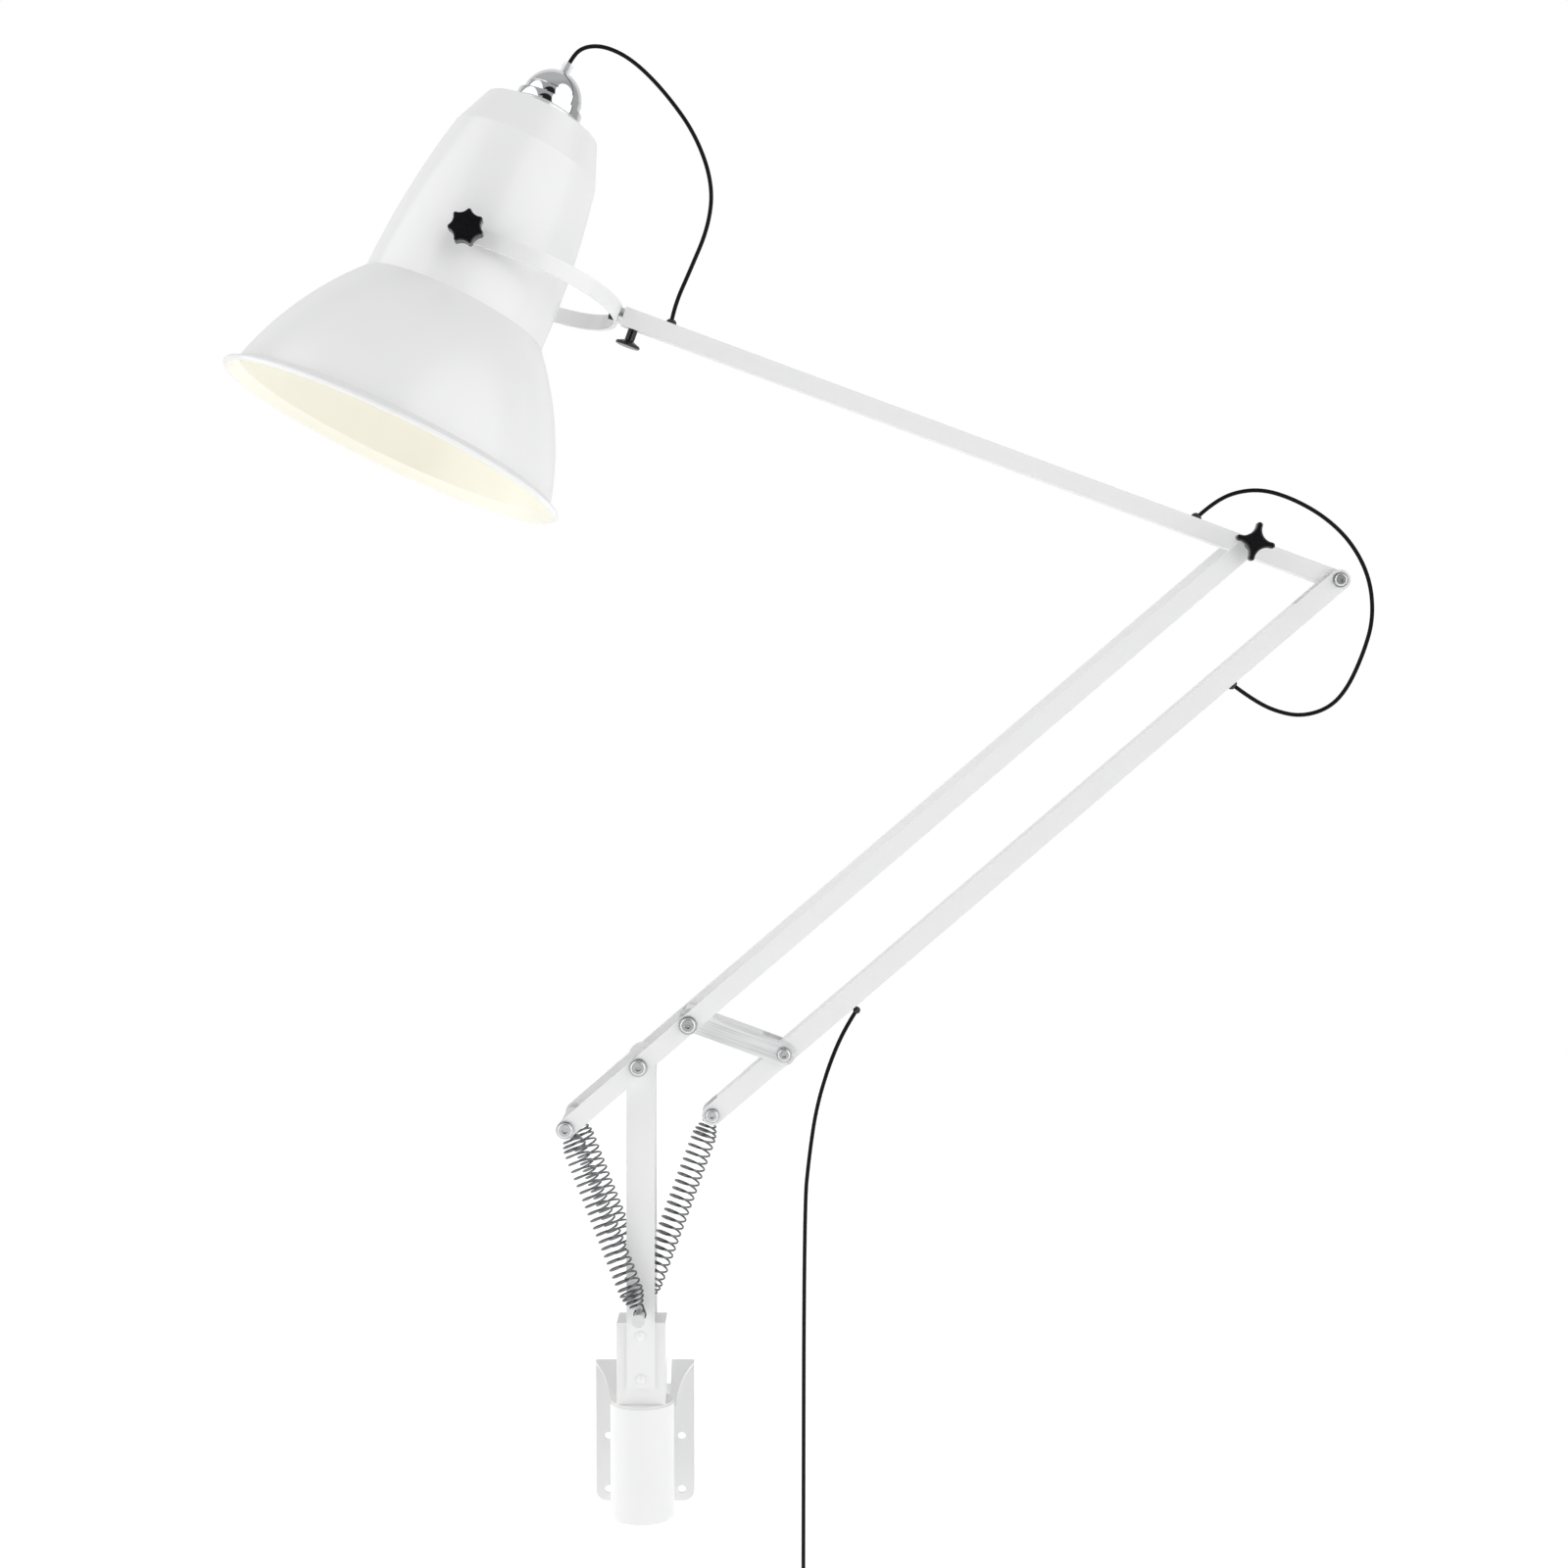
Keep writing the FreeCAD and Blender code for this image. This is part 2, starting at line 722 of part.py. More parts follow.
def make_socket():
    """Socket tube with a rounded lower edge, its two bushes and its bottom cap."""
    outside = socket_outer / 2
    edge = socket_wall / 2
    inside = socket_bore / 2
    corners = [(inside, 0), (outside - edge, 0), bend((outside, edge), (outside - edge, edge)),
               (outside, socket_length), (inside, socket_length)]
    keep("socket_tube", place(turned("socket_tube", corners), (0, arm_plane, socket_bottom)))
    bush = socket_bore / 2 - press_gap
    bore = spindle / 2 + turning_gap
    upper = turned("upper_bush", [(bore, -bush_length), (bush, -bush_length), (bush, 0),
                                  (flange_width / 2, 0), (flange_width / 2, flange_thickness),
                                  (bore, flange_thickness)])
    keep("upper_bush", place(upper, (0, arm_plane, socket_rim)))
    lower = turned("lower_bush", tube_corners(bore * 2, bush * 2, 0, bush_length))
    keep("lower_bush", place(lower, (0, arm_plane, socket_bottom + cap_thickness)))
    cap = round_bar("socket_cap", bush * 2, cap_thickness)
    keep("socket_cap", place(cap, (0, arm_plane, socket_bottom)))


# ---------------------------------------------------------------- post

def make_spigot_block():
    """Square block on a turned spindle that runs down through both bushes."""
    body = new_body("spigot_block")
    wide = block_width / 2
    deep = block_depth / 2
    square = [(-wide, -deep), (wide, -deep), (wide, deep), (-wide, deep)]
    pad(body, outline(body, "XY_Plane", square), block_height)
    foot = socket_bottom + cap_thickness + face_gap - block_bottom
    stem = outline(body, "XZ_Plane", [(0, foot), (spindle / 2, foot), (spindle / 2, cap_thickness),
                                      (0, cap_thickness)])
    turning = body.newObject("PartDesign::Revolution", "Spindle")
    turning.Profile = stem
    turning.ReferenceAxis = (stem, ["V_Axis"])
    turning.Angle = FULL_TURN
    keep("spigot_block", place(body, (0, arm_plane, block_bottom)))


def make_cheeks():
    """Two upright post plates on the block's front and back, with the screws that hold them."""
    half = cheek_width / 2
    foot = block_top - cheek_overlap
    shape = [(-half, foot), (half, foot), (half, pivot[1]), bend((-half, pivot[1]), pivot)]
    holes = [(0, pivot[1], bolt + 2 * turning_gap), (0, base_pin_point[1], base_pin)]
    near = plate("post_plate_near", "XZ_Plane", shape, cheek_thickness, holes)
    keep("post_plate_near", place(near, (0, arm_plane - block_depth / 2, 0)))
    far = plate("post_plate_far", "XZ_Plane", shape, cheek_thickness, holes)
    keep("post_plate_far", place(far, (0, arm_plane + cheek_outer, 0)))
    heads = []
    for away in (False, True):
        for fall in (cheek_screw_upper, cheek_screw_upper + cheek_screw_spacing):
            head = turned("cheek_screw", dome_corners(cheek_screw_head / 2, cheek_screw_rise))
            start = cheek_outer if away else -cheek_outer
            heads.append(place_across(head, (0, block_top - fall), start, away))
    keep("plate_screws", group("plate_screws", heads))


def dome_corners(radius, rise, start=0):
    """Corners of a low dome on a short wall, its flat face at the start height."""
    neck = start + rise / 2
    dome = rise / 2
    ball = (radius * radius + dome * dome) / (2 * dome)
    return [(0, start), (radius, start), (radius, neck),
            bend((0, neck + dome), (0, neck + dome - ball))]


def head_corners(shaft, face):
    """Corners of a washer and socket head on a shaft, from the shaft out to the axis."""
    scale = shaft / bolt
    ring = scale * washer / 2
    head = scale * bolt_head / 2
    socket = scale * bolt_socket / 2
    seat = face + washer_thickness
    top = seat + scale * bolt_head_rise
    edge = bolt_head_edge
    floor = top - scale * bolt_socket_depth
    return [(shaft / 2, face), (ring, face), (ring, seat), (head, seat), (head, top - edge),
            bend((head - edge, top), (head - edge, top - edge)), (socket, top),
            (socket, floor), (0, floor)]


def mirrored_down(corners):
    """The same corners below the middle, in the order that goes round the other way."""
    turned_over = []
    arriving = None
    for corner in reversed([c if isinstance(c, Corner) else Corner(c) for c in corners]):
        point = (corner.across, -corner.up)
        if arriving is None:
            turned_over.append(Corner(point))
        else:
            turned_over.append(bend(point, (arriving[0], -arriving[1])))
        arriving = corner.centre
    return turned_over


def through_bolt(label, shaft, face):
    """Bolt through a stack, with a washer and a socket head at each end, middle at the origin."""
    top = head_corners(shaft, face)
    return turned(label, mirrored_down(top) + top)


def make_post_pins():
    """Spacer between the post plates at the pivot, and the grooved pin that holds the springs."""
    half = block_depth / 2
    hollow = tube_corners(bolt + 2 * turning_gap, spacer, -half, half)
    keep("post_spacer", place_across(turned("post_spacer", hollow), pivot))
    end = base_pin_length / 2
    disc = base_pin_disc / 2
    radius = base_pin / 2
    seat = bolt / 2
    side = spring_wire / 2 + spring_side_gap
    collar = end - base_pin_disc_thickness
    corners = [(0, -end), (disc, -end), (disc, -collar), (radius, -collar)]
    for middle in (-spring_place, as_size(0), spring_place):
        corners += [(radius, middle - side), (seat, middle - side), (seat, middle + side),
                    (radius, middle + side)]
    corners += [(radius, collar), (disc, collar), (disc, end), (0, end)]
    keep("base_pin", place_across(turned("base_pin", corners), base_pin_point))


# ---------------------------------------------------------------- lower arm

def make_lower_arm():
    """Two flat bars, one on each side of the post, with their bolts and spacer tubes."""
    shape = rounded_ends(-arm_tail, lower_arm_length, bar_depth / 2)
    holes = [(along, 0, bolt) for along in (-arm_tail, 0, link_place, lower_arm_length)]
    for name, start in (("near", -bar_spacing / 2), ("far", bar_outer)):
        label = f"arm_bar_{name}"
        bar = plate(label, "XZ_Plane", shape, bar_thickness, holes)
        keep(label, place(bar, (pivot[0], arm_plane + start, pivot[1]), ALONG_Y, -arm_angle))
    for label, point in (("pivot_bolt", pivot), ("tail_bolt", tail_point), ("link_bolt", link_point)):
        keep(label, place_across(through_bolt(label, bolt, bar_outer), point))
    end = elbow_knob_reach - bolt / 2
    near = [(0, -end), (bolt / 2, -end), (bolt / 2, -bar_outer - washer_thickness),
            (washer / 2, -bar_outer - washer_thickness), (washer / 2, -bar_outer),
            (bolt / 2, -bar_outer)]
    elbow = turned("elbow_bolt", near + head_corners(bolt, bar_outer))
    keep("elbow_bolt", place_across(elbow, elbow_point))
    stops = (("pivot_spacers", pivot, cheek_outer + face_gap),
             ("link_spacers", link_point, link_width / 2 + face_gap),
             ("elbow_spacers", elbow_point, upper_arm_side / 2 + face_gap))
    for label, point, inner in stops:
        pair = []
        for away in (False, True):
            hollow = tube_corners(bolt + 2 * press_gap, spacer, inner, bar_spacing / 2)
            pair.append(place_across(turned("spacer_tube", hollow), point, 0, away))
        keep(label, group(label, pair))
    room = spring_wire / 2 + spring_side_gap
    tails = []
    for low, high in ((-bar_spacing / 2, -spring_place - room), (room - spring_place,
                      spring_place - room), (spring_place + room, bar_spacing / 2)):
        hollow = tube_corners(bolt + 2 * press_gap, spacer, low, high)
        tails.append(place_across(turned("spacer_tube", hollow), tail_point))
    keep("tail_spacers", group("tail_spacers", tails))


def make_link():
    """Channel that straddles the rear bar and keeps it parallel to the lower arm."""
    half = link_width / 2
    holes = [(0, 0, bolt + 2 * turning_gap), (link_length, 0, small_pin)]
    shape = rounded_ends(0, link_length, link_depth / 2)
    solid = plate("link_solid", "XZ_Plane", shape, link_width, holes, symmetric=True)
    inside = half - link_wall
    gap = box("link_gap", (-link_depth, link_length + link_depth), (-inside, inside),
              (-link_depth, link_depth / 2 - link_wall))
    fork = box("link_fork", (link_web_length, link_length + link_depth), (-inside, inside),
               (-link_depth, link_depth))
    channel = cut("link_open", solid, gap, fork)
    keep("link_channel", place(channel, (link_point[0], arm_plane, link_point[1]),
                               ALONG_Y, upper_slope))
    keep("link_pin", place_across(through_bolt("link_pin", small_pin, half), rear_link_point))


def make_rear_bar():
    """Box section bar behind the lower arm, forked at both ends, with its two end pins."""
    half = rear_bar_width / 2
    depth = rear_bar_depth / 2
    length = rear_bar_length
    holes = [(0, 0, small_pin), (arm_tail, 0, small_pin + 2 * open_pivot_gap),
             (length, 0, small_pin)]
    solid = plate("rear_bar_solid", "XZ_Plane", rounded_ends(0, length, depth), rear_bar_width,
                  holes, symmetric=True)
    side = half - rear_bar_wall
    floor = depth - rear_bar_wall
    hollow = box("rear_bar_hollow", (-depth, length + depth), (-side, side), (-floor, floor))
    tail = box("rear_bar_tail", (-depth, tail_fork), (-side, side), (-depth, depth))
    elbow = box("rear_bar_elbow", (length - elbow_fork, length + depth), (-side, side),
                (-depth, depth))
    bar = cut("rear_bar_open", solid, hollow, tail, elbow)
    keep("rear_bar", place(bar, (rear_tail_point[0], arm_plane, rear_tail_point[1]),
                           ALONG_Y, -arm_angle))
    ring = head_corners(small_pin, half)
    seat = bolt / 2
    room = spring_wire / 2 + spring_side_gap
    shoulder = spacer / 2
    middle = [(seat, -room), (seat, room)]
    right = [(shoulder, room), (shoulder, side - face_gap), (small_pin / 2, side - face_gap)]
    left = [(radius, -height) for radius, height in reversed(right)]
    pin = turned("rear_bar_tail_pin", mirrored_down(ring) + left + middle + right + ring)
    keep("rear_bar_tail_pin", place_across(pin, rear_tail_point))
    keep("elbow_tail_pin", place_across(through_bolt("elbow_tail_pin", small_pin, half),
                                        rear_elbow_point))


# ---------------------------------------------------------------- upper arm

def on_upper_arm(piece, along=0, across=0):
    """Place a piece on the upper arm, along from the elbow towards the rear pin."""
    point = from_point(elbow_point, -upper_slope, along, across)
    return place(piece, (point[0], arm_plane, point[1]), ALONG_Y, upper_slope)


def make_upper_arm():
    """Square tube, the boss that closes its end and the swivel pin that turns in the boss."""
    half = upper_arm_side / 2
    inside = half - upper_arm_wall
    end = -upper_arm_reach
    corners = [(end, -half), (link_length, -half), bend((link_length, half), (link_length, 0)),
               (end, half)]
    holes = [(0, 0, bolt + 2 * turning_gap), (link_length, 0, small_pin + 2 * turning_gap)]
    solid = plate("arm_solid", "XZ_Plane", corners, upper_arm_side, holes, symmetric=True)
    hollow = box("arm_hollow", (end - half, link_length + upper_arm_side), (-inside, inside),
                 (-inside, inside))
    thumb = end + thumb_place
    drill = round_bar("thumb_hole", thumb_screw + 2 * turning_gap, upper_arm_side)
    place(drill, (thumb, 0, -upper_arm_side))
    keep("upper_arm_tube", on_upper_arm(cut("arm_open", solid, hollow, drill)))
    fit = inside - press_gap
    block = box("boss_block", (end, end + boss_length), (-fit, fit), (-fit, fit))
    bore = round_bar("boss_bore", swivel_pin + 2 * turning_gap, boss_length * 2)
    place(bore, (end - half, 0, 0), ALONG_Y, 90)
    thumb_bore = round_bar("boss_thumb_bore", thumb_screw + 2 * turning_gap, upper_arm_side)
    place(thumb_bore, (thumb, 0, -upper_arm_side))
    keep("arm_end_boss", on_upper_arm(cut("boss", block, bore, thumb_bore)))


def make_thumb_knob():
    """Round thumb knob whose screw reaches through the arm's underside to the swivel pin."""
    tip = -swivel_pin / 2 - face_gap
    start = -upper_arm_side / 2 - face_gap
    stem = start - thumb_stem_length
    edge = thumb_knob_rim / 2
    disc = thumb_knob / 2
    back = stem - thumb_knob_thickness
    corners = [(0, back), (disc - edge, back),
               bend((disc - edge, back + thumb_knob_rim), (disc - edge, back + edge)),
               (thumb_stem / 2, stem), (thumb_stem / 2, start), (thumb_screw / 2, start),
               (thumb_screw / 2, tip), (0, tip)]
    keep("thumb_knob", on_upper_arm(turned("thumb_knob", corners), thumb_place - upper_arm_reach))


# ---------------------------------------------------------------- yoke

def yoke_placement(along=0):
    """Frame at the yoke's crown: -X out to the shade, Y across, turned about the arm."""
    base = vector(crown_point[0], arm_plane, crown_point[1])
    turn = Rotation(ALONG_Y, upper_slope.value) * Rotation(ALONG_X, -swivel_angle.value)
    return Placement(base, turn) * Placement(vector(along, 0, 0), Rotation())


def make_yoke():
    """Flat band bent to a half round with straight legs, and the pin and nut at its crown."""
    middle = (-yoke_radius, 0)
    leg = -yoke_reach - yoke_width / 2
    outer = yoke_outer
    inner = yoke_inner
    corners = [(leg, -outer), (-yoke_radius, -outer), bend((-yoke_radius, outer), middle),
               (leg, outer), (leg, inner), (-yoke_radius, inner),
               bend((-yoke_radius, -inner), middle, clockwise=True), (leg, -inner)]
    strip = plate("yoke_strip", "XY_Plane", corners, yoke_width, symmetric=True)
    shape = [bend((-yoke_reach, -yoke_width / 2), (-yoke_reach, 0)), (yoke_width, -yoke_width / 2),
             (yoke_width, yoke_width / 2), (-yoke_reach, yoke_width / 2)]
    holes = [(-yoke_reach, 0, shade_stud + 2 * turning_gap)]
    limits = plate("yoke_limits", "XZ_Plane", shape, 2 * outer + yoke_width, holes, symmetric=True)
    band = document.addObject("Part::Common", "yoke_common")
    band.Base = strip
    band.Tool = limits
    drill = round_bar("crown_hole", swivel_thread + 2 * press_gap, yoke_width)
    place(drill, (-yoke_width / 2, 0, 0), ALONG_Y, 90)
    yoke = cut("yoke_drilled", band, drill)
    yoke.Placement = yoke_placement()
    keep("yoke_band", yoke)
    face = yoke_thickness / 2
    half_nut = swivel_nut_width / 2
    nut_seat = face + half_nut * half_nut / (2 * yoke_inner) + face_gap / 2
    thread_end = -nut_seat - swivel_nut_thickness
    collar_end = face + crown_gap - face_gap
    pin_end = face + crown_gap + boss_length
    corners = [(0, thread_end), (swivel_thread / 2, thread_end), (swivel_thread / 2, face),
               (swivel_collar / 2, face), (swivel_collar / 2, collar_end),
               (swivel_pin / 2, collar_end), (swivel_pin / 2, pin_end), (0, pin_end)]
    pin = turned("swivel_pin", corners)
    pin.Placement = yoke_placement() * Placement(Vector(), Rotation(ALONG_Y, 90))
    keep("swivel_pin", pin)
    nut = new_body("swivel_nut")
    hexagon = []
    for number in range(6):
        hexagon.append((half_nut * cosine(60 * number), half_nut * sine(60 * number)))
    hole = [(0, 0, swivel_thread + 2 * press_gap)]
    pad(nut, outline(nut, "XY_Plane", hexagon, hole), swivel_nut_thickness)
    nut.Placement = yoke_placement(-nut_seat) * Placement(Vector(), Rotation(ALONG_Y, -90))
    keep("swivel_nut", nut)


# ---------------------------------------------------------------- shade

def shade_placement(height=0):
    """Frame on the shade's axis at a height above its rim, Z up the axis."""
    tilt = Placement(Vector(), Rotation(ALONG_Y, shade_tilt.value))
    drop = Placement(vector(0, 0, height - shade_pivot_height), Rotation())
    return yoke_placement(-yoke_reach) * tilt * drop


def across_shade(away):
    """Frame at the tilt pivot, Z outwards along the tilt axis to one side."""
    return shade_placement(shade_pivot_height) * Placement(Vector(), Rotation(ALONG_X,
                                                                             -90 if away else 90))


def shade_outside(wall=0):
    """Corners of the shade's profile from its lip to its top, set in by a wall."""
    skirt = (skirt_radius - wall, skirt_height)
    waist = (waist_radius - wall, waist_height)
    shoulder = (shoulder_radius - wall, shoulder_height)
    return [skirt, bend(waist, arc_centre(skirt, waist, skirt_curve)),
            bend(shoulder, arc_centre(waist, shoulder, body_curve)),
            (crown_radius - wall, crown_height - wall * cosine(crown_turn)),
            (top_radius, top_height - wall)]


def make_shade():
    """Spun shade with a rolled rim, a drawn waist and a low cone top, drilled for its studs."""
    bead = rim_radius - bead_radius
    outside = shade_outside()
    outside[-1] = (top_radius, top_height)
    inner = shade_outside(shade_wall)
    back = []
    arriving = None
    for corner in reversed([c if isinstance(c, Corner) else Corner(c) for c in inner]):
        point = (corner.across, corner.up)
        back.append(bend(point, arriving, clockwise=True) if arriving else Corner(point))
        arriving = corner.centre
    hole = wire_hole / 2
    corners = [(bead - shade_wall, 0), (bead, 0),
               bend((bead, 2 * bead_radius), (bead, bead_radius))] + outside
    corners += [(hole, top_height), (hole, top_height - shade_wall)] + back
    shell = turned("shade_spun", corners)
    drill = round_bar("stud_hole", shade_stud + 2 * press_gap, rim_radius * 2)
    place(drill, (0, rim_radius, shade_pivot_height), ALONG_X, 90)
    shade = cut("shade_drilled", shell, drill)
    shade.Placement = shade_placement()
    keep("shade_shell", shade)


def make_shade_fixings():
    """Studs through the shade wall, and washers shaped to its curve under the yoke's legs."""
    core = turned("shade_core", shade_outside() + [(0, top_height), (0, skirt_height)])
    core.Placement = shade_placement()
    inside = waist_radius - shade_wall - 2 * stud_head_thickness
    tip = shade_knob_reach - shade_knob_grip / 2
    head_face = shade_radius_at_pivot() - shade_wall - stud_head_gap
    studs = []
    washers = []
    for away in (False, True):
        stud = turned("stud", [(0, head_face - stud_head_thickness),
                               (stud_head / 2, head_face - stud_head_thickness),
                               (stud_head / 2, head_face), (shade_stud / 2, head_face),
                               (shade_stud / 2, tip), (0, tip)])
        stud.Placement = across_shade(away)
        studs.append(stud)
        ring = turned("washer_blank", tube_corners(shade_stud + 2 * press_gap, shade_washer,
                                                   inside, yoke_inner - face_gap))
        ring.Placement = across_shade(away)
        washers.append(ring)
    keep("shade_studs", group("shade_studs", studs))
    keep("shade_washers", cut("washers_fitted", group("washer_blanks", washers), core))


def shade_radius_at_pivot():
    """Outer radius of the shade where the studs pass through."""
    centre = arc_centre((waist_radius, waist_height), (shoulder_radius, shoulder_height), body_curve)
    rise = shade_pivot_height - centre[1]
    return centre[0] + root(body_curve * body_curve - rise * rise)


def make_lamp_cap():
    """Two part chrome cap, the cord gland on its top and the lamp holder below it."""
    seam = cap_flange_thickness + cap_side_height
    rise = cap_height - seam
    ball = (cap_seam_radius * cap_seam_radius + rise * rise) / (2 * rise)
    flat = gland_radius
    level = ball - rise
    top = root(ball * ball - flat * flat) - level
    corners = [(0, 0), (cap_flange_radius, 0), (cap_flange_radius, cap_flange_thickness / 2),
               (cap_radius, cap_flange_thickness), (cap_seam_radius, seam),
               bend((flat, seam + top), (0, seam - level)), (0, seam + top)]
    cap = turned("lamp_cap", corners)
    cap.Placement = shade_placement(top_height)
    keep("lamp_cap", cap)
    edge = gland_edge
    corners = [(0, 0), (flat, 0), (flat, gland_height - edge),
               bend((flat - edge, gland_height), (flat - edge, gland_height - edge)),
               (0, gland_height)]
    gland = turned("cord_gland", corners)
    gland.Placement = shade_placement(top_height + seam + top)
    keep("cord_gland", gland)
    bottom = -shade_wall - holder_length
    lip = holder_radius + shade_wall
    corners = [(holder_bore_radius, bottom), (holder_radius, bottom),
               (holder_radius, bottom + holder_length / 2), (lip, bottom + holder_length / 2),
               (lip, -shade_wall), (0, -shade_wall), (0, -holder_length / 2),
               (holder_bore_radius, -holder_length / 2)]
    holder = turned("lamp_holder", corners)
    holder.Placement = shade_placement(top_height)
    keep("lamp_holder", holder)
    return top_height + seam + top + gland_height


# ---------------------------------------------------------------- knobs

def star_outline(width, lobes, tip, waist):
    """Corners of a star with round tips, and a hollow arc between each tip and the next."""
    ring = width / 2 - tip
    step = as_size(FULL_TURN) / lobes
    reach = waist - tip
    hollow_ring = (ring * ring - reach * reach) / (2 * (ring * cosine(step / 2) - reach))
    lean = arctangent(hollow_ring * sine(step / 2), hollow_ring * cosine(step / 2) - ring)
    corners = []
    for number in range(int(lobes.value)):
        angle = step * number
        before = angle - step / 2
        hollow = (hollow_ring * cosine(before), hollow_ring * sine(before))
        middle = (ring * cosine(angle), ring * sine(angle))
        corners.append(bend(from_point(middle, angle - lean, tip), hollow, clockwise=True))
        corners.append(bend(from_point(middle, angle + lean, tip), middle))
    return corners


def star_knob(label, star, hub, grip, edge, length, bore, depth):
    """Clamping knob with a star grip, its hub's face at the origin and its grip along Z."""
    start = length - grip
    body = new_body(f"{label}_grip")
    sketch = outline(body, "XY_Plane", star)
    sketch.setExpression("AttachmentOffset.Base.z", start.formula)
    thick = pad(body, sketch, grip)
    document.recompute()
    low, high = start.value + SKETCH_TOLERANCE, length.value - SKETCH_TOLERANCE
    flat = []
    for number, side in enumerate(thick.Shape.Edges, 1):
        if side.BoundBox.ZMax < low or side.BoundBox.ZMin > high:
            flat.append(f"Edge{number}")
    rounded = body.newObject("PartDesign::Fillet", "RoundedEdges")
    rounded.Base = (thick, flat)
    rounded.setExpression("Radius", edge.formula)
    body.Tip = rounded
    stem = round_bar(f"{label}_hub", hub, start + grip / 2)
    whole = document.addObject("Part::MultiFuse", f"{label}_whole")
    whole.Shapes = [body, stem]
    return cut(f"{label}_bored", whole, round_bar(f"{label}_bore", bore, depth))


def make_knobs():
    """Star knob at the elbow and the two knobs that clamp the shade in its yoke."""
    face = bar_outer + washer_thickness + face_gap
    bore = bolt + 2 * turning_gap
    star = star_outline(elbow_knob, elbow_knob_lobes, elbow_knob_tip, elbow_knob_waist)
    knob = star_knob("elbow_knob", star, elbow_knob_hub, elbow_knob_grip, elbow_knob_edge,
                     elbow_knob_reach - face, bore, elbow_knob_reach - bolt / 2 + face_gap - face)
    knob.Placement = Placement(vector(elbow_point[0], arm_plane - face, elbow_point[1]),
                               Rotation(ALONG_X, 90) * Rotation(ALONG_Z, -elbow_knob_turn.value))
    keep("elbow_knob", knob)
    face = yoke_outer + face_gap
    length = shade_knob_reach - face
    star = star_outline(shade_knob, shade_knob_lobes, shade_knob_tip, shade_knob_waist)
    for name, away in (("near", False), ("far", True)):
        label = f"shade_knob_{name}"
        knob = star_knob(label, star, shade_knob_hub, shade_knob_grip, shade_knob_edge, length,
                         shade_stud + 2 * turning_gap, length - shade_knob_grip / 2 + face_gap)
        knob.Placement = across_shade(away) * Placement(vector(0, 0, face), Rotation())
        keep(label, knob)


# ---------------------------------------------------------------- springs

def spring_edges(length):
    """Path of a spring up Z between two pins that lie along Y, an eye round each pin."""
    eye = eye_radius.value
    full = (spring_width.value - spring_wire.value) / 2
    turns = spring_turns.value
    taper = spring_taper_turns.value
    bend_radius = eye_bend.value
    rise = eye_neck.value
    low = rise + bend_radius
    first = math.asin(bend_radius / eye)
    last = 2 * math.pi * turns - first
    pitch = (length - 2 * low) / (last - first)

    def radius(angle):
        done = (angle - first) / (2 * math.pi)
        left = (last - angle) / (2 * math.pi)
        share = min(1.0, done / taper, left / taper)
        return eye + (full - eye) * share

    def on_coil(angle):
        reach = radius(angle)
        return Vector(reach * math.cos(angle), reach * math.sin(angle),
                      low + pitch * (angle - first))

    def way_on_coil(angle):
        step = SMALL_TURN
        behind = on_coil(max(first, angle - step))
        ahead = on_coil(min(last, angle + step))
        return (ahead - behind).normalize()

    sweep = math.radians(eye_sweep.value)
    edges = []
    tip = [Vector(eye * math.cos(a), 0, eye * math.sin(a)) for a in (-sweep, -sweep / 2, 0)]
    edges.append(Part.Arc(*tip).toShape())
    edges.append(Part.LineSegment(tip[2], Vector(eye, 0, rise)).toShape())
    steps = int(2 * turns)
    angles = [first + (last - first) * number / steps for number in range(steps + 1)]
    points = [Vector(eye, 0, rise)] + [on_coil(angle) for angle in angles]
    ways = [ALONG_Z] + [way_on_coil(angle) for angle in angles]
    points.append(Vector(eye, 0, length - rise))
    ways.append(ALONG_Z)
    edges += smooth_path(points, ways)
    edges.append(Part.LineSegment(points[-1], Vector(eye, 0, length)).toShape())
    far = [Vector(eye * math.cos(a), 0, length + eye * math.sin(a)) for a in (0, sweep / 2, sweep)]
    edges.append(Part.Arc(*far).toShape())
    return edges


def make_springs():
    """Three extension springs from the base pin to the tails of the arm and the rear bar."""
    places = (("spring_near", tail_point, -spring_place), ("spring_far", tail_point, spring_place),
              ("spring_mid", rear_tail_point, as_size(0)))
    for label, point, across in places:
        start = vector(base_pin_point[0], arm_plane + across, base_pin_point[1])
        end = vector(point[0], arm_plane + across, point[1])
        edges = spring_edges(start.distanceToPoint(end))
        solid = sweep_round(edges, spring_wire.value)
        rise = (end - start).normalize()
        frame = Rotation(rise.cross(ALONG_Y) * -1, ALONG_Y, rise, "ZYX")
        print(label, "least gap", round(least_gap(edges, spring_wire.value), 2), "length",
              round(start.distanceToPoint(end), 1))
        keep(label, computed(label, solid, Placement(start, frame)))


# ---------------------------------------------------------------- cords

def rubber_ball(label, radius, rise, point, way):
    """Rubber ball with a flat face that looks along the cord."""
    ball = document.addObject("Part::Sphere", label)
    ball.setExpression("Radius", radius.formula)
    ball.Angle2 = math.degrees(math.asin(rise.value / radius.value))
    ball.Placement = Placement(point, Rotation(ALONG_Z, way))
    return ball


def boot(label, exit_place, carrier):
    """Round rubber boot that grips the cord, trimmed where it meets the arm."""
    ball = rubber_ball(label, boot_radius, boot_rise, exit_place[0], exit_place[1])
    return cut(f"{label}_fitted", ball, carrier)


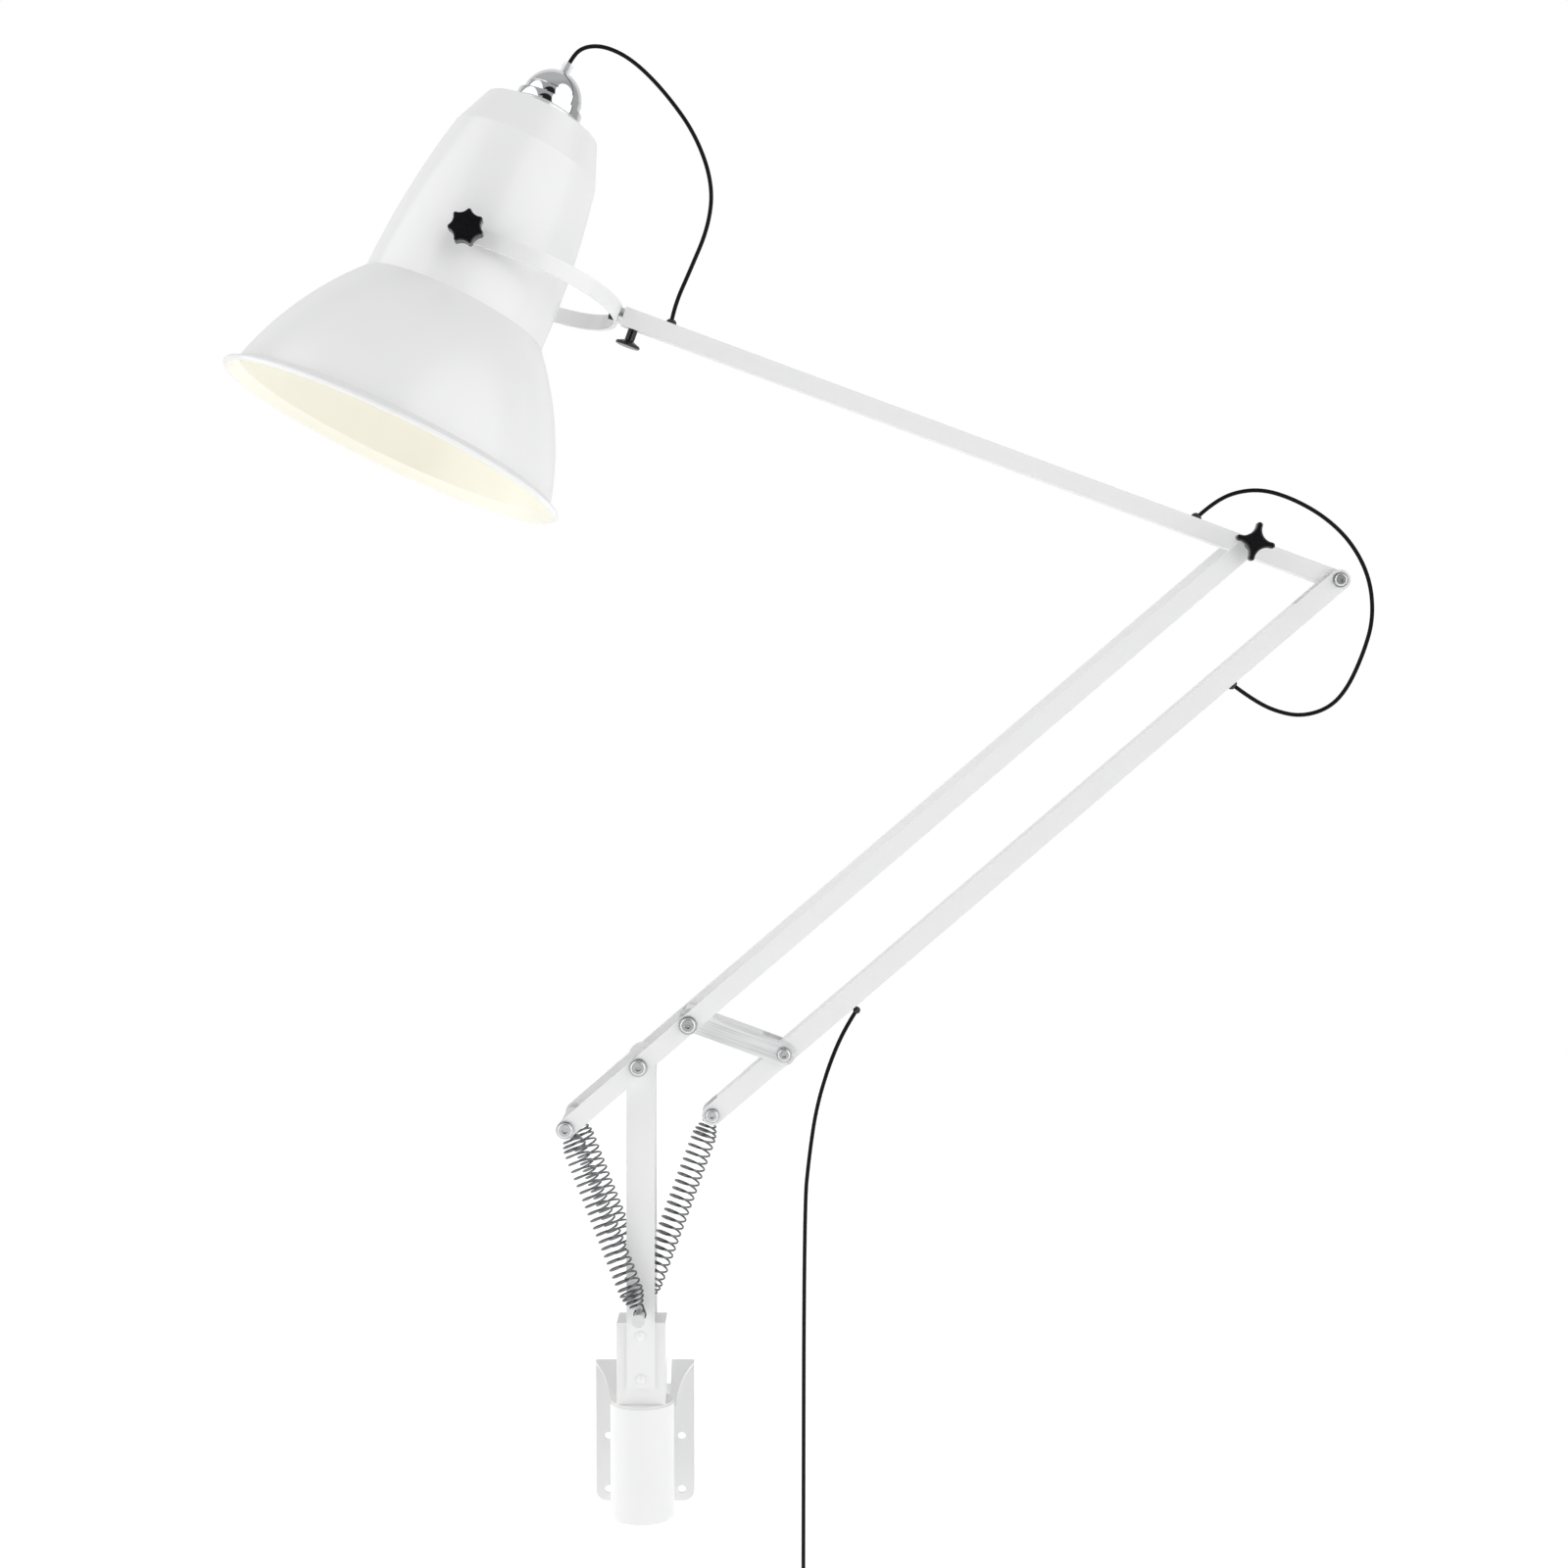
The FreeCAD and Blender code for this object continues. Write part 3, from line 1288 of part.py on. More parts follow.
def make_boots(exits):
    """The rubber boots where the cord enters and leaves the two arms."""
    half = upper_arm_side / 2
    arm = group("arm_space", [box("arm_envelope", (-upper_arm_reach, link_length),
                                  (-half, half), (-half, half))])
    on_upper_arm(arm)
    wide = rear_bar_width / 2
    deep = rear_bar_depth / 2
    rear = group("rear_space", [box("rear_envelope", (0, rear_bar_length), (-wide, wide),
                                    (-deep, deep))])
    place(rear, (rear_tail_point[0], arm_plane, rear_tail_point[1]), ALONG_Y, -arm_angle)
    pair = [boot(name, exits[name], arm) for name in ("shade_exit", "elbow_exit")]
    keep("arm_grommets", group("arm_grommets", pair))
    ring = round_bar("mains_ring", mains_ring, mains_ring_rise)
    seat = from_point(rear_tail_point, arm_angle, mains_exit_place, -deep)
    place(ring, (seat[0], arm_plane, seat[1]), ALONG_Y, 180 - arm_angle)
    entry = boot("elbow_entry", exits["elbow_entry"], rear)
    keep("rear_bar_grommets", group("rear_bar_grommets", (entry, ring)))
    middle, way, _ = exits["mains_exit"]
    keep("mains_knuckle", rubber_ball("mains_knuckle", mains_ball / 2, mains_ball_rise, middle, way))


def cord_exits():
    """Where the cord meets each arm: the boot's middle and the way the cord leaves it."""
    half = upper_arm_side / 2
    deep = rear_bar_depth / 2
    points = {
        "shade_exit": from_point(elbow_point, -upper_slope, -shade_exit_place, half),
        "elbow_exit": from_point(elbow_point, -upper_slope, -elbow_exit_place, half),
        "elbow_entry": from_point(rear_tail_point, arm_angle, elbow_entry_place, -deep),
        "mains_exit": from_point(rear_tail_point, arm_angle, mains_exit_place,
                                 -deep - mains_ring_rise - mains_ball_gap - mains_ball / 2)}
    towards = {"shade_exit": LOWER_ROUTE[0], "elbow_exit": ELBOW_ROUTE[0],
               "elbow_entry": ELBOW_ROUTE[-1], "mains_exit": MAINS_ROUTE[0]}
    exits = {}
    for name, point in points.items():
        middle = vector(point[0], arm_plane, point[1])
        way = (on_route(towards[name]) - middle).normalize()
        rise = mains_ball_rise if name == "mains_exit" else boot_rise
        exits[name] = (middle, way, middle + way * rise.value)
    return exits


# chosen points of the cord's route as (x, distance behind the arms' plane, z)
LOWER_ROUTE = [(48, 0, 1552), (66, 0, 1592)]
LOWER_END = (79.5, 0, 1623.5)
UPPER_ROUTE = [(93, 0, 1655), (98, 2, 1712), (75, 7, 1778), (34, 16, 1836), (-8, 26, 1880),
               (-45, 33, 1901), (-74, 37, 1903)]
UPPER_LEAD = 22
ELBOW_ROUTE = [(771, 0, 1284), (800, 0, 1299), (838, 0, 1303), (880, 0, 1290), (924, 0, 1265),
               (960, 0, 1230), (984, 0, 1183), (989, 0, 1130), (977, 0, 1085), (955, 0, 1035),
               (930, 0, 1008), (893, 0, 997), (858, 0, 1004), (828, 0, 1019)]
MAINS_ROUTE = [(283, 0, 584), (268, 0, 556), (252, 0, 515), (237, 0, 462), (228, 0, 400),
               (221, 0, 330)]
MAINS_END = (220, 0, -214)


def on_route(point):
    """A chosen route point in the lamp's frame."""
    return vector(point[0], arm_plane + point[1], point[2])


def make_cords(exits, gland_top):
    """The cord from the mains to the rear bar, round the elbow and up to the shade."""
    lower = [exits["shade_exit"][2]] + [on_route(point) for point in LOWER_ROUTE + [LOWER_END]]
    cord_piece("shade_cord_lower", lower)
    top = shade_placement(gland_top)
    lead = top * Placement(vector(0, 0, UPPER_LEAD), Rotation())
    upper = [on_route(point) for point in [LOWER_END] + UPPER_ROUTE]
    cord_piece("shade_cord_upper", upper + [lead.Base, top.Base])
    elbow = [on_route(point) for point in ELBOW_ROUTE]
    cord_piece("elbow_cord", [exits["elbow_exit"][2]] + elbow + [exits["elbow_entry"][2]])
    mains = [on_route(point) for point in MAINS_ROUTE + [MAINS_END]]
    cord_piece("mains_cord", [exits["mains_exit"][2]] + mains)


def make_coil():
    """Spare mains cord in a round coil, two layers deep, with its tie and the plug."""
    turns = coil_turns.value
    pitch = coil_pitch.value
    inner = coil_inner_radius.value
    outer = inner + pitch * turns / 2
    middle_turn = turns / 2
    crossing = coil_crossing.value

    def on_coil(turn):
        radius = inner + pitch * abs(turn - middle_turn)
        climb = min(1.0, max(0.0, (turn - middle_turn) / crossing + 1 / 2))
        layer = pitch * (climb * climb * (3 - 2 * climb) - 1 / 2)
        angle = math.pi + 2 * math.pi * turn
        return Vector(radius * math.cos(angle), layer, radius * math.sin(angle))

    def way_on_coil(turn):
        step = SMALL_TURN
        behind = on_coil(max(0, turn - step))
        ahead = on_coil(min(turns, turn + step))
        return (ahead - behind).normalize()

    steps = int(4 * turns)
    places = [turns * number / steps for number in range(steps + 1)]
    start = on_coil(0) + ALONG_Z * cord.value
    end = on_coil(turns) - ALONG_Z * coil_lead.value
    points = [on_coil(turn) for turn in places]
    ways = [way_on_coil(turn) for turn in places]
    ways[0] = ALONG_Z * -1
    ways[-1] = ALONG_Z * -1
    edges = [Part.LineSegment(start, points[0]).toShape()]
    edges += smooth_path(points, ways)
    edges.append(Part.LineSegment(points[-1], end).toShape())
    solid = sweep_round(edges, cord.value)
    print("cord_coil least gap", round(least_gap(edges, cord.value), 2),
          "length", round(sum(edge.Length for edge in edges)))
    origin = on_route(MAINS_END) - start
    keep("cord_coil", computed("cord_coil", solid, Placement(origin, Rotation())))
    low = coil_inner_radius - cord / 2 - tie_thickness
    high = coil_inner_radius + coil_pitch * coil_turns / 2 + cord / 2 - tie_thickness / 2
    side = coil_pitch / 2 + cord / 2 + tie_thickness / 2
    outside = box("tie_outside", (-tie_width / 2, tie_width / 2),
                  (-side - tie_thickness, side + tie_thickness),
                  (low - tie_thickness, high + tie_thickness))
    inside = box("tie_inside", (-tie_width, tie_width), (-side, side), (low, high))
    tie = cut("tie", outside, inside)
    tie.Placement = Placement(origin, Rotation())
    keep("cord_tie", tie)
    plug = make_plug()
    plug.Placement = Placement(origin + end, Rotation(ALONG_X, 180))
    keep("mains_plug", plug)


def make_plug():
    """Flat two pin plug, its cord face at the origin and its pins along Z."""
    body = new_body("plug_housing")
    half = plug_width / 2
    neck = cord
    shoulder = plug_shoulder
    corners = [(-neck, 0), (neck, 0), (half, shoulder), (half, plug_length),
               (-half, plug_length), (-half, shoulder)]
    pad(body, outline(body, "XZ_Plane", corners), plug_depth, symmetric=True)
    spacing = plug_pin_spacing / 2
    pins = []
    for side in (-1, 1):
        pin = round_bar("plug_pin", plug_pin, plug_pin_length)
        pins.append(place(pin, (side * spacing, 0, plug_length)))
    whole = document.addObject("Part::MultiFuse", "plug_whole")
    whole.Shapes = [body] + pins
    return whole


# ---------------------------------------------------------------- build and write

def check_document():
    """Stop if any object failed or any sub-part is empty or unsound."""
    for item in document.Objects:
        if "Invalid" in item.State or "Error" in item.State:
            raise RuntimeError(f"{item.Label} failed: {item.State}")
    for node in nodes:
        if node.Shape.isNull() or not node.Shape.isValid():
            raise RuntimeError(f"{node.Label} has no sound shape")


make_wall_plate()
make_bracket_web()
make_bracket_rib()
make_socket()
make_spigot_block()
make_cheeks()
make_post_pins()
make_lower_arm()
make_link()
make_rear_bar()
make_upper_arm()
make_thumb_knob()
make_yoke()
make_shade()
make_shade_fixings()
gland_top = make_lamp_cap()
make_knobs()
make_springs()
cord_places = cord_exits()
make_boots(cord_places)
make_cords(cord_places, gland_top)
make_coil()
document.recompute()
check_document()
os.makedirs("parts", exist_ok=True)
for node in nodes:
    node.Shape.exportStep(f"parts/{node.Label}.step")
print(len(nodes), "sub-parts")
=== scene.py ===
import math

import bpy
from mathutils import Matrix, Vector
from mathutils.geometry import interpolate_bezier


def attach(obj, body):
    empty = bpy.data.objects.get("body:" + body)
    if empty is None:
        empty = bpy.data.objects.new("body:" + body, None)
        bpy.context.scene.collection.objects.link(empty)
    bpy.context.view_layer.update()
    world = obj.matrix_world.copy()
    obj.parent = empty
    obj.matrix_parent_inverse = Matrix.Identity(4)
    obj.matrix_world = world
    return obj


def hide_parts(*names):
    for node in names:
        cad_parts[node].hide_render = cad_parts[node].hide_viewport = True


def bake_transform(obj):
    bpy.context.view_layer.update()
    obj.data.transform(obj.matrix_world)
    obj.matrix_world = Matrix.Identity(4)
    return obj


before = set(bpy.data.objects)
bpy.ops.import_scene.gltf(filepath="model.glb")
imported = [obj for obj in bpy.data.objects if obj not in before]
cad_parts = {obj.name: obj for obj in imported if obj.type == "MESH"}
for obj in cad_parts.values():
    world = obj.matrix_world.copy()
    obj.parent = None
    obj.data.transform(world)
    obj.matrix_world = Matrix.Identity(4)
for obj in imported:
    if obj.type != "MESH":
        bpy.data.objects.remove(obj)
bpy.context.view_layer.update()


# ------------------------------------------------------------------ camera
# A long lens square on to the lamp, a little above its middle and tipped down by two
# degrees, so the shade is at the upper left and the mains cord runs out at the bottom.

lens = bpy.data.cameras.new("camera")
lens.lens = 57.74
lens.sensor_width = 36
camera = bpy.data.objects.new("camera", lens)
camera.location = (0.1936, -3.478, 1.0382)
camera.rotation_euler = (math.radians(90 - 2.232), 0, 0)
bpy.context.scene.collection.objects.link(camera)
bpy.context.scene.camera = camera


# ------------------------------------------------------------------ cords
# One flex, 5.6 mm across, in a smooth black sheath: from the mains plug up to the rear bar,
# through it, round the elbow, through the upper arm and up in a loop to the lamp cap.
# Where it shows it hangs free or stands in a loop of its own stiffness.

class Value:
    """One output of a node, on which sums can be written."""

    def __init__(self, finish, socket):
        self.finish = finish
        self.socket = socket

    def math(self, operation, first, second):
        return self.finish.node("ShaderNodeMath", {"operation": operation}, (first, second))

    def __add__(self, other):
        return self.math("ADD", self, other)

    def __sub__(self, other):
        return self.math("SUBTRACT", self, other)

    def __rsub__(self, other):
        return self.math("SUBTRACT", other, self)

    def __mul__(self, other):
        return self.math("MULTIPLY", self, other)

    __radd__ = __add__
    __rmul__ = __mul__


class Nodes:
    """The node tree of a finish or of the studio's air."""

    def __init__(self, tree):
        self.tree = tree

    def node(self, kind, settings, inputs, output=0):
        """Add a node: its settings first, then each socket's value or link."""
        made = self.tree.nodes.new(kind)
        for setting, value in settings.items():
            setattr(made, setting, value)
        for socket, value in inputs.items() if isinstance(inputs, dict) else enumerate(inputs):
            if isinstance(value, Value):
                self.tree.links.new(value.socket, made.inputs[socket])
            else:
                made.inputs[socket].default_value = value
        return Value(self, made.outputs[output])

    def between(self, value, start, end, low=0.0, high=1.0):
        """Run smoothly from low to high as a value goes from start to end."""
        return self.node("ShaderNodeMapRange", {"interpolation_type": "SMOOTHSTEP"},
                         (value, start, end, low, high))

    def dot(self, first, second):
        return self.node("ShaderNodeVectorMath", {"operation": "DOT_PRODUCT"},
                         {0: first, 1: second}, output="Value")


class Finish(Nodes):
    """A finish with its nodes: constants go straight on the shader's own sockets."""

    def __init__(self, name, constants):
        self.material = bpy.data.materials.new(name)
        self.material.use_nodes = True
        super().__init__(self.material.node_tree)
        self.shader = self.tree.nodes["Principled BSDF"]
        for socket, value in constants.items():
            self.shader.inputs[socket].default_value = value

    def vary(self, socket, value):
        """Let a value that changes over the surface drive one of the shader's sockets."""
        self.tree.links.new(value.socket, self.shader.inputs[socket])

    def place(self):
        return self.node("ShaderNodeTexCoord", {}, {}, output="Object")

    def noise(self, scale, detail=2.0, stretch=(1, 1, 1), turn=(0, 0, 0)):
        """Noise of so many grains to the metre, drawn out along an axis by its stretch."""
        where = self.node("ShaderNodeMapping", {"vector_type": "TEXTURE"},
                          {"Vector": self.place(), "Scale": stretch, "Rotation": turn})
        return self.node("ShaderNodeTexNoise", {},
                         {"Vector": where, "Scale": scale, "Detail": detail})

    def colour(self, share, first, second):
        return self.node("ShaderNodeMix", {"data_type": "RGBA"},
                         {0: share, 6: first, 7: second}, output=2)

    def relief(self, height, depth):
        self.vary("Normal", self.node("ShaderNodeBump", {}, {
            "Height": height, "Distance": depth, "Strength": 1.0}))


FLEX = 0.0056
ARM_PLANE = -0.078

flex = Finish("black_flex", {"Base Color": (0.004, 0.004, 0.005, 1), "Roughness": 0.42,
                             "Specular IOR Level": 0.12})
sheath = flex.noise(900, detail=3.0)
flex.vary("Roughness", flex.between(sheath, 0.3, 0.7, 0.36, 0.52))
flex.vary("Base Color", flex.colour(flex.noise(60), (0.003, 0.003, 0.004, 1),
                                    (0.006, 0.006, 0.007, 1)))
flex.relief(sheath, 0.00008)


def in_metres(route):
    """Route points in millimetres, as (x, distance behind the arms, z), in the lamp's frame."""
    return [Vector((x, y + 1000 * ARM_PLANE, z)) / 1000 for x, y, z in route]


def flex_line(name, points):
    """A smooth spline over the route's points."""
    line = bpy.data.curves.new(name, "CURVE")
    line.dimensions = "3D"
    line.resolution_u = 14
    spline = line.splines.new("NURBS")
    spline.points.add(len(points) - 1)
    for place, point in zip(spline.points, points):
        place.co = (*point, 1)
    spline.order_u = 3
    spline.use_endpoint_u = True
    piece = bpy.data.objects.new(name, line)
    bpy.context.scene.collection.objects.link(piece)
    return piece


def line_points(name, points):
    """The points that such a spline runs through."""
    guide = flex_line(f"{name}_line", points)
    bpy.context.view_layer.update()
    mesh = bpy.data.meshes.new_from_object(guide)
    path = [vertex.co.copy() for vertex in mesh.vertices]
    bpy.data.meshes.remove(mesh)
    bpy.data.objects.remove(guide)
    return path


def round_tube(name, path, radius, sides):
    """A round closed tube along a path of points."""
    vertices = []
    faces = []
    side = None
    along = None
    for number, point in enumerate(path):
        before = path[max(0, number - 1)]
        after = path[min(len(path) - 1, number + 1)]
        way = (after - before).normalized()
        if side is None:
            side = way.orthogonal().normalized()
        else:
            side.rotate(along.rotation_difference(way))
            side = (side - way * side.dot(way)).normalized()
        along = way
        up = way.cross(side)
        for step in range(sides):
            angle = 2 * math.pi * step / sides
            vertices.append(point + (side * math.cos(angle) + up * math.sin(angle)) * radius)
    for ring in range(len(path) - 1):
        for step in range(sides):
            here = ring * sides
            beside = (step + 1) % sides
            faces.append((here + step, here + beside, here + sides + beside, here + sides + step))
    faces.append(tuple(reversed(range(sides))))
    faces.append(tuple(range((len(path) - 1) * sides, len(path) * sides)))
    mesh = bpy.data.meshes.new(name)
    mesh.from_pydata(vertices, [], faces)
    for face in mesh.polygons:
        face.use_smooth = len(face.vertices) == 4
    piece = bpy.data.objects.new(name, mesh)
    bpy.context.scene.collection.objects.link(piece)
    return piece


def turned(name, profile, base, axis, sides):
    """A closed piece of revolution: its profile is a loop of radius and height on an axis."""
    side = axis.orthogonal().normalized()
    other = axis.cross(side)
    count = len(profile)
    vertices = []
    for radius, height in profile:
        for step in range(sides):
            angle = 2 * math.pi * step / sides
            vertices.append(base + axis * height
                            + (side * math.cos(angle) + other * math.sin(angle)) * radius)
    faces = []
    for ring in range(count):
        here = ring * sides
        above = (ring + 1) % count * sides
        for step in range(sides):
            beside = (step + 1) % sides
            faces.append((here + step, here + beside, above + beside, above + step))
    mesh = bpy.data.meshes.new(name)
    mesh.from_pydata(vertices, [], faces)
    mesh.shade_smooth()
    mesh.set_sharp_from_angle(angle=math.radians(35))
    piece = bpy.data.objects.new(name, mesh)
    bpy.context.scene.collection.objects.link(piece)
    return piece


def free_flex(name, points, node):
    """A stretch of flex between two bodies, drawn as a fixed tube along its route."""
    path = line_points(name, points)
    piece = round_tube(name, path, FLEX / 2, 16)
    piece.data.materials.append(flex.material)
    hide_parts(node)
    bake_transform(piece)


half_way = Vector((0.0795, ARM_PLANE, 1.6235))
arm_exit = Vector((0.0430326, ARM_PLANE, 1.5298346))
free_flex("flex_from_arm", [arm_exit] + in_metres([(48, 0, 1552), (66, 0, 1592)]) + [half_way],
          "shade_cord_lower")
free_flex("flex_to_shade",
          [half_way] + in_metres([(93, 0, 1655), (98, 2, 1712), (75, 7, 1778), (34, 16, 1836),
                                  (-8, 26, 1880), (-45, 33, 1901), (-74, 37, 1903)])
          + [Vector((-0.0924757, -0.0399259, 1.8904461)),
             Vector((-0.1035300, -0.0432500, 1.8658700))],
          "shade_cord_upper")
free_flex("flex_round_elbow",
          [Vector((0.7529777, ARM_PLANE, 1.2679290))]
          + in_metres([(771, 0, 1284), (800, 0, 1299), (838, 0, 1303), (880, 0, 1290),
                       (924, 0, 1265), (960, 0, 1230), (984, 0, 1183), (989, 0, 1130),
                       (977, 0, 1085), (955, 0, 1035), (930, 0, 1008), (893, 0, 997),
                       (858, 0, 1004), (828, 0, 1019)])
          + [Vector((0.8029107, ARM_PLANE, 1.0373873))],
          "elbow_cord")


def spare_turns():
    """Six turns of put-away flex, wound down to the middle and out again beside them."""
    centre = Vector((0.2603, -0.0749, -0.2196))
    turns = 6
    core = 0.0217
    pitch = 0.0062
    crossing = 0.5
    steps = 16
    points = []
    for number in range(steps * turns + 1):
        turn = number / steps
        radius = core + pitch * abs(turn - turns / 2)
        climb = min(1.0, max(0.0, (turn - turns / 2 + crossing / 2) / crossing))
        layer = pitch * (climb * climb * (3 - 2 * climb) - 0.5)
        angle = math.pi + 2 * math.pi * turn
        points.append(centre + Vector((radius * math.cos(angle), layer, radius * math.sin(angle))))
    return points


bar_exit = Vector((0.2901070, ARM_PLANE, 0.5950835))
spare_coil = spare_turns()
plug_face = spare_coil[-1] - Vector((0, 0, 0.05))
mains = flex_line("mains_flex", [bar_exit] + in_metres(
    [(283, 0, 584), (268, 0, 556), (252, 0, 515), (237, 0, 462), (228, 0, 400), (221, 0, 330),
     (220, 0, -214)]) + spare_coil + [plug_face])
mains.data.bevel_depth = FLEX / 2
mains.data.bevel_resolution = 5
mains.data.use_fill_caps = True
mains.data.materials.append(flex.material)
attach(mains, "mains_lead")
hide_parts("mains_cord", "cord_coil")

# The plug's strain relief: rings on a tapered sleeve, each with a small bevel.
RINGS = 6
RING_RADIUS = 0.0056
RING_TAPER = 0.0004
RING_PITCH = 0.0058
RING_WIDTH = 0.0034
RING_HEIGHT = 0.0008
RING_BEVEL = 0.0004
SLEEVE_FOOT = 0.0004
SLEEVE_TOP = 0.0350
rings = []
for number in range(RINGS):
    foot = SLEEVE_FOOT + RING_PITCH * number
    reach = RING_RADIUS - RING_TAPER * number
    rings += [(reach, foot), (reach, foot + RING_WIDTH),
              (reach - RING_HEIGHT, foot + RING_WIDTH + RING_BEVEL),
              (reach - RING_HEIGHT, foot + RING_PITCH - RING_BEVEL)]
plug_sleeve = turned("plug_sleeve", rings + [(0.0032, SLEEVE_TOP), (FLEX / 2, SLEEVE_TOP),
                                             (FLEX / 2, SLEEVE_FOOT)],
                     plug_face, Vector((0, 0, 1)), 32)
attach(plug_sleeve, "mains_lead")


# ------------------------------------------------------------------ painted steel and shade
# Wall bracket, post, arms and yoke are folded and drilled steel in gloss white enamel. The
# shade is spun aluminium in the same white outside and a warm cream inside.

def dress(finish, *names):
    """Give a finish to pieces whose shape is already right."""
    for name in names:
        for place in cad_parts[name].material_slots:
            place.material = finish.material


def white_paint(name):
    """Gloss enamel: a faint orange peel, a clear top that shines, and a clouded white."""
    paint = Finish(name, {"Base Color": (0.84, 0.845, 0.84, 1), "Roughness": 0.3,
                          "Specular IOR Level": 0.4, "Coat Weight": 0.3,
                          "Coat Roughness": 0.08})
    peel = paint.noise(150, detail=1.0)
    cloud = paint.noise(9, detail=2.0)
    paint.vary("Roughness", paint.between(peel, 0.3, 0.7, 0.28, 0.34))
    paint.relief(peel, 0.000005)
    white = paint.colour(cloud, (0.825, 0.83, 0.828, 1), (0.855, 0.86, 0.855, 1))
    return paint, cloud, white


enamel, _, white = white_paint("white_enamel")
enamel.vary("Base Color", white)
dress(enamel, "wall_plate", "bracket_web", "bracket_rib", "socket_tube", "spigot_block",
      "post_plate_near", "post_plate_far", "arm_bar_near", "arm_bar_far", "rear_bar",
      "upper_arm_tube", "yoke_band", "plate_screws")

spun, cloud, white = white_paint("white_spun_aluminium")
rim_centre = (-0.3303, -0.1111, 1.3606)
shade_axis = (0.4064, 0.1216, 0.9055)
from_rim = spun.node("ShaderNodeVectorMath", {"operation": "SUBTRACT"},
                     {0: spun.place(), 1: rim_centre})
height = spun.dot(from_rim, shade_axis)
on_axis = spun.node("ShaderNodeVectorMath", {"operation": "SCALE"},
                    {0: shade_axis, "Scale": height})
outward = spun.node("ShaderNodeVectorMath", {"operation": "NORMALIZE"},
                    {0: spun.node("ShaderNodeVectorMath", {"operation": "SUBTRACT"},
                                  {0: from_rim, 1: on_axis})})
facing = spun.dot(outward, spun.node("ShaderNodeTexCoord", {}, {}, output="Normal"))
inside = spun.between(facing, -0.12, -0.22)
cream = spun.colour(cloud, (0.94, 0.92, 0.815, 1), (0.955, 0.935, 0.835, 1))
spun.vary("Base Color", spun.colour(inside, white, cream))
dress(spun, "shade_shell")


# ------------------------------------------------------------------ bright parts
# Pins, bolts and spacers are turned steel with a bright zinc finish. The link is a satin
# aluminium channel, drawn along its length, and the arm's end boss and the shade's washers
# have the same finish.

steel = Finish("bright_zinc_steel", {"Base Color": (0.74, 0.745, 0.755, 1), "Metallic": 1.0,
                                     "Roughness": 0.3})
turning = steel.noise(1400, detail=2.0)
steel.vary("Roughness", steel.between(turning, 0.3, 0.7, 0.24, 0.38))
steel.vary("Base Color", steel.colour(steel.noise(120), (0.69, 0.695, 0.71, 1),
                                      (0.79, 0.795, 0.80, 1)))
steel.relief(turning, 0.00002)
dress(steel, "base_pin", "pivot_bolt", "tail_bolt", "link_bolt", "elbow_bolt",
      "pivot_spacers", "link_spacers", "elbow_spacers", "tail_spacers", "post_spacer",
      "link_pin", "rear_bar_tail_pin", "elbow_tail_pin", "swivel_pin", "shade_studs")

satin = Finish("satin_aluminium", {"Base Color": (0.88, 0.885, 0.89, 1), "Metallic": 1.0,
                                   "Roughness": 0.46})
drawn = satin.noise(700, detail=2.0, stretch=(60, 1, 1), turn=(0, math.radians(20.2), 0))
satin.vary("Roughness", satin.between(drawn, 0.25, 0.75, 0.4, 0.6))
satin.vary("Base Color", satin.colour(satin.between(drawn, 0.35, 0.65), (0.80, 0.805, 0.81, 1),
                                      (0.94, 0.945, 0.95, 1)))
satin.relief(drawn, 0.00001)
dress(satin, "link_channel", "arm_end_boss", "shade_washers")


# ------------------------------------------------------------------ lamp cap
# A chromed shell closes the neck of the shade: a collar, a straight band, and a dome pressed
# on over the band with a fine seam. The flex comes out of a clear, slightly tapered sleeve.

NECK_TOP = 0.5
COLLAR_RADIUS = 0.0460
COLLAR_TOP = 0.0130
BAND_RADIUS = 0.0400
SEAM_RADIUS = 0.0384
SEAM_LOW = 0.0254
SEAM_HIGH = 0.0263
DOME_RADIUS = 0.0405
DOME_FOOT = 0.0154
DOME_RISE = 0.0426

chrome = Finish("chrome", {"Base Color": (0.78, 0.79, 0.80, 1), "Metallic": 1.0,
                           "Roughness": 0.06})
haze = chrome.noise(70, detail=3.0)
chrome.vary("Roughness", chrome.between(haze, 0.4, 0.8, 0.03, 0.08))


def on_shade(name, profile, finish, node):
    """A turned piece on the shade's axis, its heights measured from the top of the neck."""
    axis = Vector(shade_axis).normalized()
    piece = turned(name, profile, Vector(rim_centre) + axis * NECK_TOP, axis, 64)
    piece.data.materials.append(finish.material)
    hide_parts(node)
    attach(piece, "shade")


dome = [(DOME_RADIUS * math.cos(angle), DOME_FOOT + DOME_RISE * math.sin(angle))
        for angle in (math.radians(5 * step) for step in range(3, 17))]
on_shade("lamp_cap_shell",
         [(0.030, 0.0004), (COLLAR_RADIUS - 0.0008, 0.0004), (COLLAR_RADIUS, 0.0012),
          (COLLAR_RADIUS, COLLAR_TOP - 0.0012), (COLLAR_RADIUS - 0.0004, COLLAR_TOP - 0.0004),
          (COLLAR_RADIUS - 0.0012, COLLAR_TOP), (BAND_RADIUS + 0.0004, COLLAR_TOP + 0.0002),
          (BAND_RADIUS, COLLAR_TOP + 0.0006), (BAND_RADIUS, SEAM_LOW - 0.0006),
          (BAND_RADIUS - 0.0002, SEAM_LOW - 0.0002), (SEAM_RADIUS, SEAM_LOW),
          (SEAM_RADIUS, SEAM_HIGH)]
         + dome + [(0.0050, 0.0573), (0.0040, 0.0560), (0.030, 0.0060)],
         chrome, "lamp_cap")

